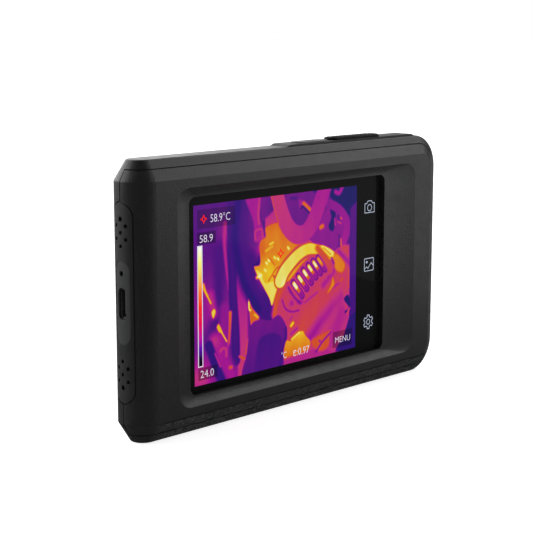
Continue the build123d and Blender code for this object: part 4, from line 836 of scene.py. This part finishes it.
class Strokes:
    """Flat shapes on the glass, gathered into one mesh. Lengths are in millimetres."""

    def __init__(self, lift):
        self.mesh = bmesh.new()
        self.lift = lift

    def point(self, x, z):
        return self.mesh.verts.new((x * MM, (GLASS_FRONT - self.lift) * MM, z * MM))

    def line(self, points, width, closed=False):
        """A ribbon of that width along the points, with mitred corners."""
        path = [Vector(point) for point in points]
        count = len(path)
        rims = []
        for index, at in enumerate(path):
            before = path[index - 1] if closed or index else None
            after = path[(index + 1) % count] if closed or index < count - 1 else None
            ahead = ((at - before) if after is None else (after - at)).normalized()
            behind = ahead if before is None else (at - before).normalized()
            side = Vector((-(ahead + behind).y, (ahead + behind).x)).normalized()
            reach = width / 2 / max(side.dot(Vector((-ahead.y, ahead.x))), LEAST_MITRE)
            rims.append((self.point(*(at - side * reach)), self.point(*(at + side * reach))))
        spans = count if closed else count - 1
        for index in range(spans):
            low, high = rims[index], rims[(index + 1) % count]
            self.mesh.faces.new((low[0], low[1], high[1], high[0]))

    def ring(self, centre, radius, width, parts=28):
        """A circle's outline."""
        turns = [2 * math.pi * index / parts for index in range(parts)]
        self.line([polar(centre, radius, angle) for angle in turns], width, closed=True)

    def rounded(self, centre, size, radius, width, steps=4):
        """A rounded rectangle's outline."""
        points = []
        for corner in range(4):
            sx = 1 if corner in (0, 3) else -1
            sz = 1 if corner in (0, 1) else -1
            middle = (centre[0] + sx * (size[0] / 2 - radius),
                      centre[1] + sz * (size[1] / 2 - radius))
            for step in range(steps + 1):
                angle = math.pi / 2 * (corner + step / steps)
                points.append(polar(middle, radius, angle))
        self.line(points, width, closed=True)

    def text(self, words, left, base, width, height):
        """Generic lettering, fitted to a box."""
        curve = bpy.data.curves.new("letters", "FONT")
        curve.body = words
        curve.resolution_u = LETTER_CURVE_STEPS
        curve.offset = LETTER_OFFSET
        holder = bpy.data.objects.new("letters", curve)
        bpy.context.scene.collection.objects.link(holder)
        bpy.context.view_layer.update()
        letters = bpy.data.meshes.new_from_object(holder)
        bpy.data.objects.remove(holder)
        bpy.data.curves.remove(curve)
        xs = [vertex.co.x for vertex in letters.vertices]
        ys = [vertex.co.y for vertex in letters.vertices]
        wide = width / (max(xs) - min(xs))
        high = height / (max(ys) - min(ys))
        made = [self.point(left + (x - min(xs)) * wide, base + (y - min(ys)) * high)
                for x, y in zip(xs, ys)]
        for face in letters.polygons:
            self.mesh.faces.new([made[index] for index in face.vertices])
        bpy.data.meshes.remove(letters)

    def finish(self, name, material):
        """Turns the shapes to face the viewer and adds them as one piece."""
        bmesh.ops.recalc_face_normals(self.mesh, faces=self.mesh.faces)
        for face in self.mesh.faces:
            if face.normal.y > 0:
                face.normal_flip()
        mesh = bpy.data.meshes.new(name)
        self.mesh.to_mesh(mesh)
        self.mesh.free()
        add_piece(name, mesh, material)


LABELS = [
    ("58.9°C", (9.4, 4.2), (20.5, 7.6)),
    ("58.9", (3.3, 12.4), (10.6, 15.5)),
    ("24.0", (3.2, 68.9), (10.7, 72.0)),
    ("MENU", (86.2, 68.2), (96.3, 70.9)),
    ("°C", (51.0, 69.1), (54.3, 72.1)),
    ("ε:0.97", (58.6, 68.9), (68.8, 72.2)),
]

white = Strokes(LABEL_LIFT)
for words, low, high in LABELS:
    width, height = (high[0] - low[0]) * UNIT, (high[1] - low[1]) * UNIT
    white.text(words, sheet_x(low[0]), sheet_z(high[1]), width, height)
left, right = sheet_x(SCALE_LOW[0] - SCALE_RIM), sheet_x(SCALE_HIGH[0] + SCALE_RIM)
bottom, top = sheet_z(SCALE_HIGH[1] + SCALE_RIM), sheet_z(SCALE_LOW[1] - SCALE_RIM)
white.line([(left, bottom), (left, top), (right, top), (right, bottom)], SCALE_LINE, closed=True)
white.finish("display_labels", lit_plain("lit_white", screen(232, 226, 240)))

MARK_LINE = 0.42
MARK_INNER = 0.62


def aiming_mark(strokes, at, reach):
    """A small square on its corner with a tick at each corner."""
    x, z = sheet_x(at[0]), sheet_z(at[1])
    inner = reach * MARK_INNER
    corners = [(x + inner, z), (x, z + inner), (x - inner, z), (x, z - inner)]
    strokes.line(corners, MARK_LINE, closed=True)
    for dx, dz in ((1, 0), (-1, 0), (0, 1), (0, -1)):
        start = (x + dx * inner, z + dz * inner)
        strokes.line([start, (x + dx * reach, z + dz * reach)], MARK_LINE)


marks = Strokes(MARK_LIFT)
aiming_mark(marks, (5.6, 5.9), 1.3)
aiming_mark(marks, (50.6, 25.3), 1.6)
marks.finish("display_marks", lit_plain("lit_red", screen(250, 20, 16)))

# The touch icons stand in one column in the glass's wide border.
ICON_INSET = 7.4
ICON_X = glass_high.x / MM - ICON_INSET
ICON_LINE = 0.26
CAMERA_ICON_Z = 60.6
GALLERY_ICON_Z = 41.1
GEAR_ICON_Z = 21.4


def camera_icon(strokes, z):
    """A camera seen from the front."""
    outline = [(-2.4, -1.9), (2.4, -1.9), (2.4, 1.2), (1.5, 1.2), (0.9, 2.0), (-0.9, 2.0),
               (-1.5, 1.2), (-2.4, 1.2)]
    strokes.line([(ICON_X + x, z + y) for x, y in outline], ICON_LINE, closed=True)
    strokes.ring((ICON_X, z - 0.3), 1.05, ICON_LINE)


def gallery_icon(strokes, z):
    """A framed picture of hills under a sun."""
    strokes.rounded((ICON_X, z), (4.6, 4.2), 0.25, ICON_LINE)
    hills = [(-2.2, -1.3), (-1.2, -0.7), (-0.5, -1.3), (1.1, 0.5), (2.2, -0.5)]
    strokes.line([(ICON_X + x, z + y) for x, y in hills], ICON_LINE)
    strokes.ring((ICON_X - 1.1, z + 0.9), 0.24, 0.4, parts=12)


def gear_icon(strokes, z):
    """A toothed wheel."""
    teeth = 6
    tooth_shape = [(-0.34, 1.75), (-0.2, 2.4), (0.2, 2.4), (0.34, 1.75)]
    outline = []
    for tooth in range(teeth):
        middle = math.pi / 2 + 2 * math.pi * tooth / teeth
        outline += [polar((ICON_X, z), radius, middle + turn) for turn, radius in tooth_shape]
    strokes.line(outline, ICON_LINE, closed=True)
    strokes.ring((ICON_X, z), 0.85, ICON_LINE, parts=20)


icons = Strokes(ICON_LIFT)
camera_icon(icons, CAMERA_ICON_Z)
gallery_icon(icons, GALLERY_ICON_Z)
gear_icon(icons, GEAR_ICON_Z)
icons.finish("touch_icons", lit_plain("icon_print", screen(180, 190, 208)))

# --------------------------------------------------------------- stage, camera


FLOOR_SIDE = 6.0
FLOOR_GLOW = 0.78


def stage_plane(name, low, high, height, material):
    """A level rectangle that is not part of the object. Lengths are in metres."""
    mesh = bpy.data.meshes.new(name)
    corners = [(low[0], low[1]), (high[0], low[1]), (high[0], high[1]), (low[0], high[1])]
    mesh.from_pydata([(x, y, height) for x, y in corners], [], [(0, 1, 2, 3)])
    mesh.materials.append(material)
    plane = bpy.data.objects.new(name, mesh)
    bpy.context.scene.collection.objects.link(plane)
    return plane


def studio_floor():
    """A pale matte floor that glows a little, so that it blends into the white."""
    look = Look("studio_floor")
    tone = look.mix(look.noise(300.0), grey(0.86), grey(0.9))
    look.set(Emission_Color=grey(1.0), Emission_Strength=FLOOR_GLOW)
    roughness = look.remap(look.noise(80.0), 0.3, 0.7, 0.6, 0.75)
    material = look.set(Base_Color=tone, Roughness=roughness)
    stage_plane("studio_floor", (-FLOOR_SIDE, -FLOOR_SIDE), (FLOOR_SIDE, FLOOR_SIDE), 0, material)


def gloss_card(name, low, high, height, near, far, span):
    """A card that only shows in reflections.

    Its light goes from near to far along its Y, over span metres."""
    look = Look(name)
    along = look.node("SeparateXYZ", {0: look.place}).outputs["Y"]
    level = look.remap(along, span[0], span[1], near, far)
    glow = look.node("Emission", {"Strength": level})
    look.tree.links.new(glow.outputs[0], look.tree.nodes["Material Output"].inputs["Surface"])
    card = stage_plane(name, low, high, height, look.material)
    card.visible_camera = False
    card.visible_diffuse = False
    card.visible_shadow = False
    card.visible_transmission = False
    return card


def soft_box(name, place, aim, size, power):
    """A rectangular lamp at place that faces aim, with its size in metres."""
    data = bpy.data.lights.new(name, "AREA")
    data.shape = "RECTANGLE"
    data.size, data.size_y = size
    data.energy = power
    lamp = bpy.data.objects.new(name, data)
    lamp.location = place
    lamp.rotation_euler = (Vector(aim) - Vector(place)).to_track_quat("-Z", "Y").to_euler()
    lamp.visible_camera = False
    bpy.context.scene.collection.objects.link(lamp)


# The way from the tent's dim side to its bright side, the part of that way over which its
# light rises, and its light at each end.
TENT_AXIS = (-0.2, 0.96, 0.14)
TENT_RISE = (0.3, 0.78)
TENT_LIGHT = (0.1, 2.5)


def studio_world():
    """White all round for the camera, and a soft light tent that is dimmer on the screen side."""
    world = bpy.data.worlds.new("studio")
    bpy.context.scene.world = world
    world.use_nodes = True
    tree = world.node_tree
    back = tree.nodes["Background"]
    out = tree.nodes["World Output"]
    place = tree.nodes.new("ShaderNodeTexCoord")
    facing = tree.nodes.new("ShaderNodeVectorMath")
    facing.operation = "DOT_PRODUCT"
    facing.inputs[1].default_value = TENT_AXIS
    tree.links.new(place.outputs["Generated"], facing.inputs[0])
    side = tree.nodes.new("ShaderNodeMapRange")
    side.interpolation_type = "SMOOTHSTEP"
    tree.links.new(facing.outputs["Value"], side.inputs["Value"])
    side.inputs["From Min"].default_value, side.inputs["From Max"].default_value = TENT_RISE
    side.inputs["To Min"].default_value, side.inputs["To Max"].default_value = TENT_LIGHT
    tree.links.new(side.outputs[0], back.inputs["Strength"])
    seen = tree.nodes.new("ShaderNodeBackground")
    seen.inputs["Strength"].default_value = 1.0
    seen.inputs["Color"].default_value = (1, 1, 1, 1)
    back.inputs["Color"].default_value = (1, 1, 1, 1)
    path = tree.nodes.new("ShaderNodeLightPath")
    mixed = tree.nodes.new("ShaderNodeMixShader")
    tree.links.new(path.outputs["Is Camera Ray"], mixed.inputs[0])
    tree.links.new(back.outputs[0], mixed.inputs[1])
    tree.links.new(seen.outputs[0], mixed.inputs[2])
    tree.links.new(mixed.outputs[0], out.inputs["Surface"])


SENSOR_WIDTH = 36.0
LENS = 94.13
CAMERA_PLACE = (-0.31747, -0.30903, 0.12137)
CAMERA_LOOKS = (0.6998, 0.6931, -0.1730)


def studio_camera():
    data = bpy.data.cameras.new("camera")
    data.sensor_width = SENSOR_WIDTH
    data.lens = LENS
    data.clip_start = 0.01
    camera = bpy.data.objects.new("camera", data)
    camera.location = CAMERA_PLACE
    camera.rotation_euler = Vector(CAMERA_LOOKS).to_track_quat("-Z", "Y").to_euler()
    bpy.context.scene.collection.objects.link(camera)
    bpy.context.scene.camera = camera


studio_floor()
studio_world()
# The floor that the gloss sees: dark towards the viewer, and nearly black under the object, where a
# painted contact shadow lies.
floor_card = gloss_card("dark_card", (-3, -3), (3, 3), 0.0002, near=0.02, far=0.27,
                        span=(-0.25, 0.3))
floor_card.rotation_euler.z = math.radians(-66)
# A painted contact shadow: a dark card under the object that only shows in reflections.
gloss_card("contact_shadow_card", (-0.078, -0.02), (0.078, 0.012), 0.0004, near=0.06, far=0.06,
           span=(-0.3, 0.3))
soft_box("top_box", (0.75, 0.02, 0.62), (0, 0, 0.04), (0.5, 0.5), 1.9)
soft_box("side_box", (0.2294, -0.309, 0.25), (-0.0406, -0.384, 0.25), (0.53, 0.5), 0.62)
soft_box("low_wall_box", (0.49, -0.406, 0.31), (0, 0, 0.02), (0.35, 0.3), 0.5)
studio_camera()
bpy.context.scene.view_settings.view_transform = "Standard"
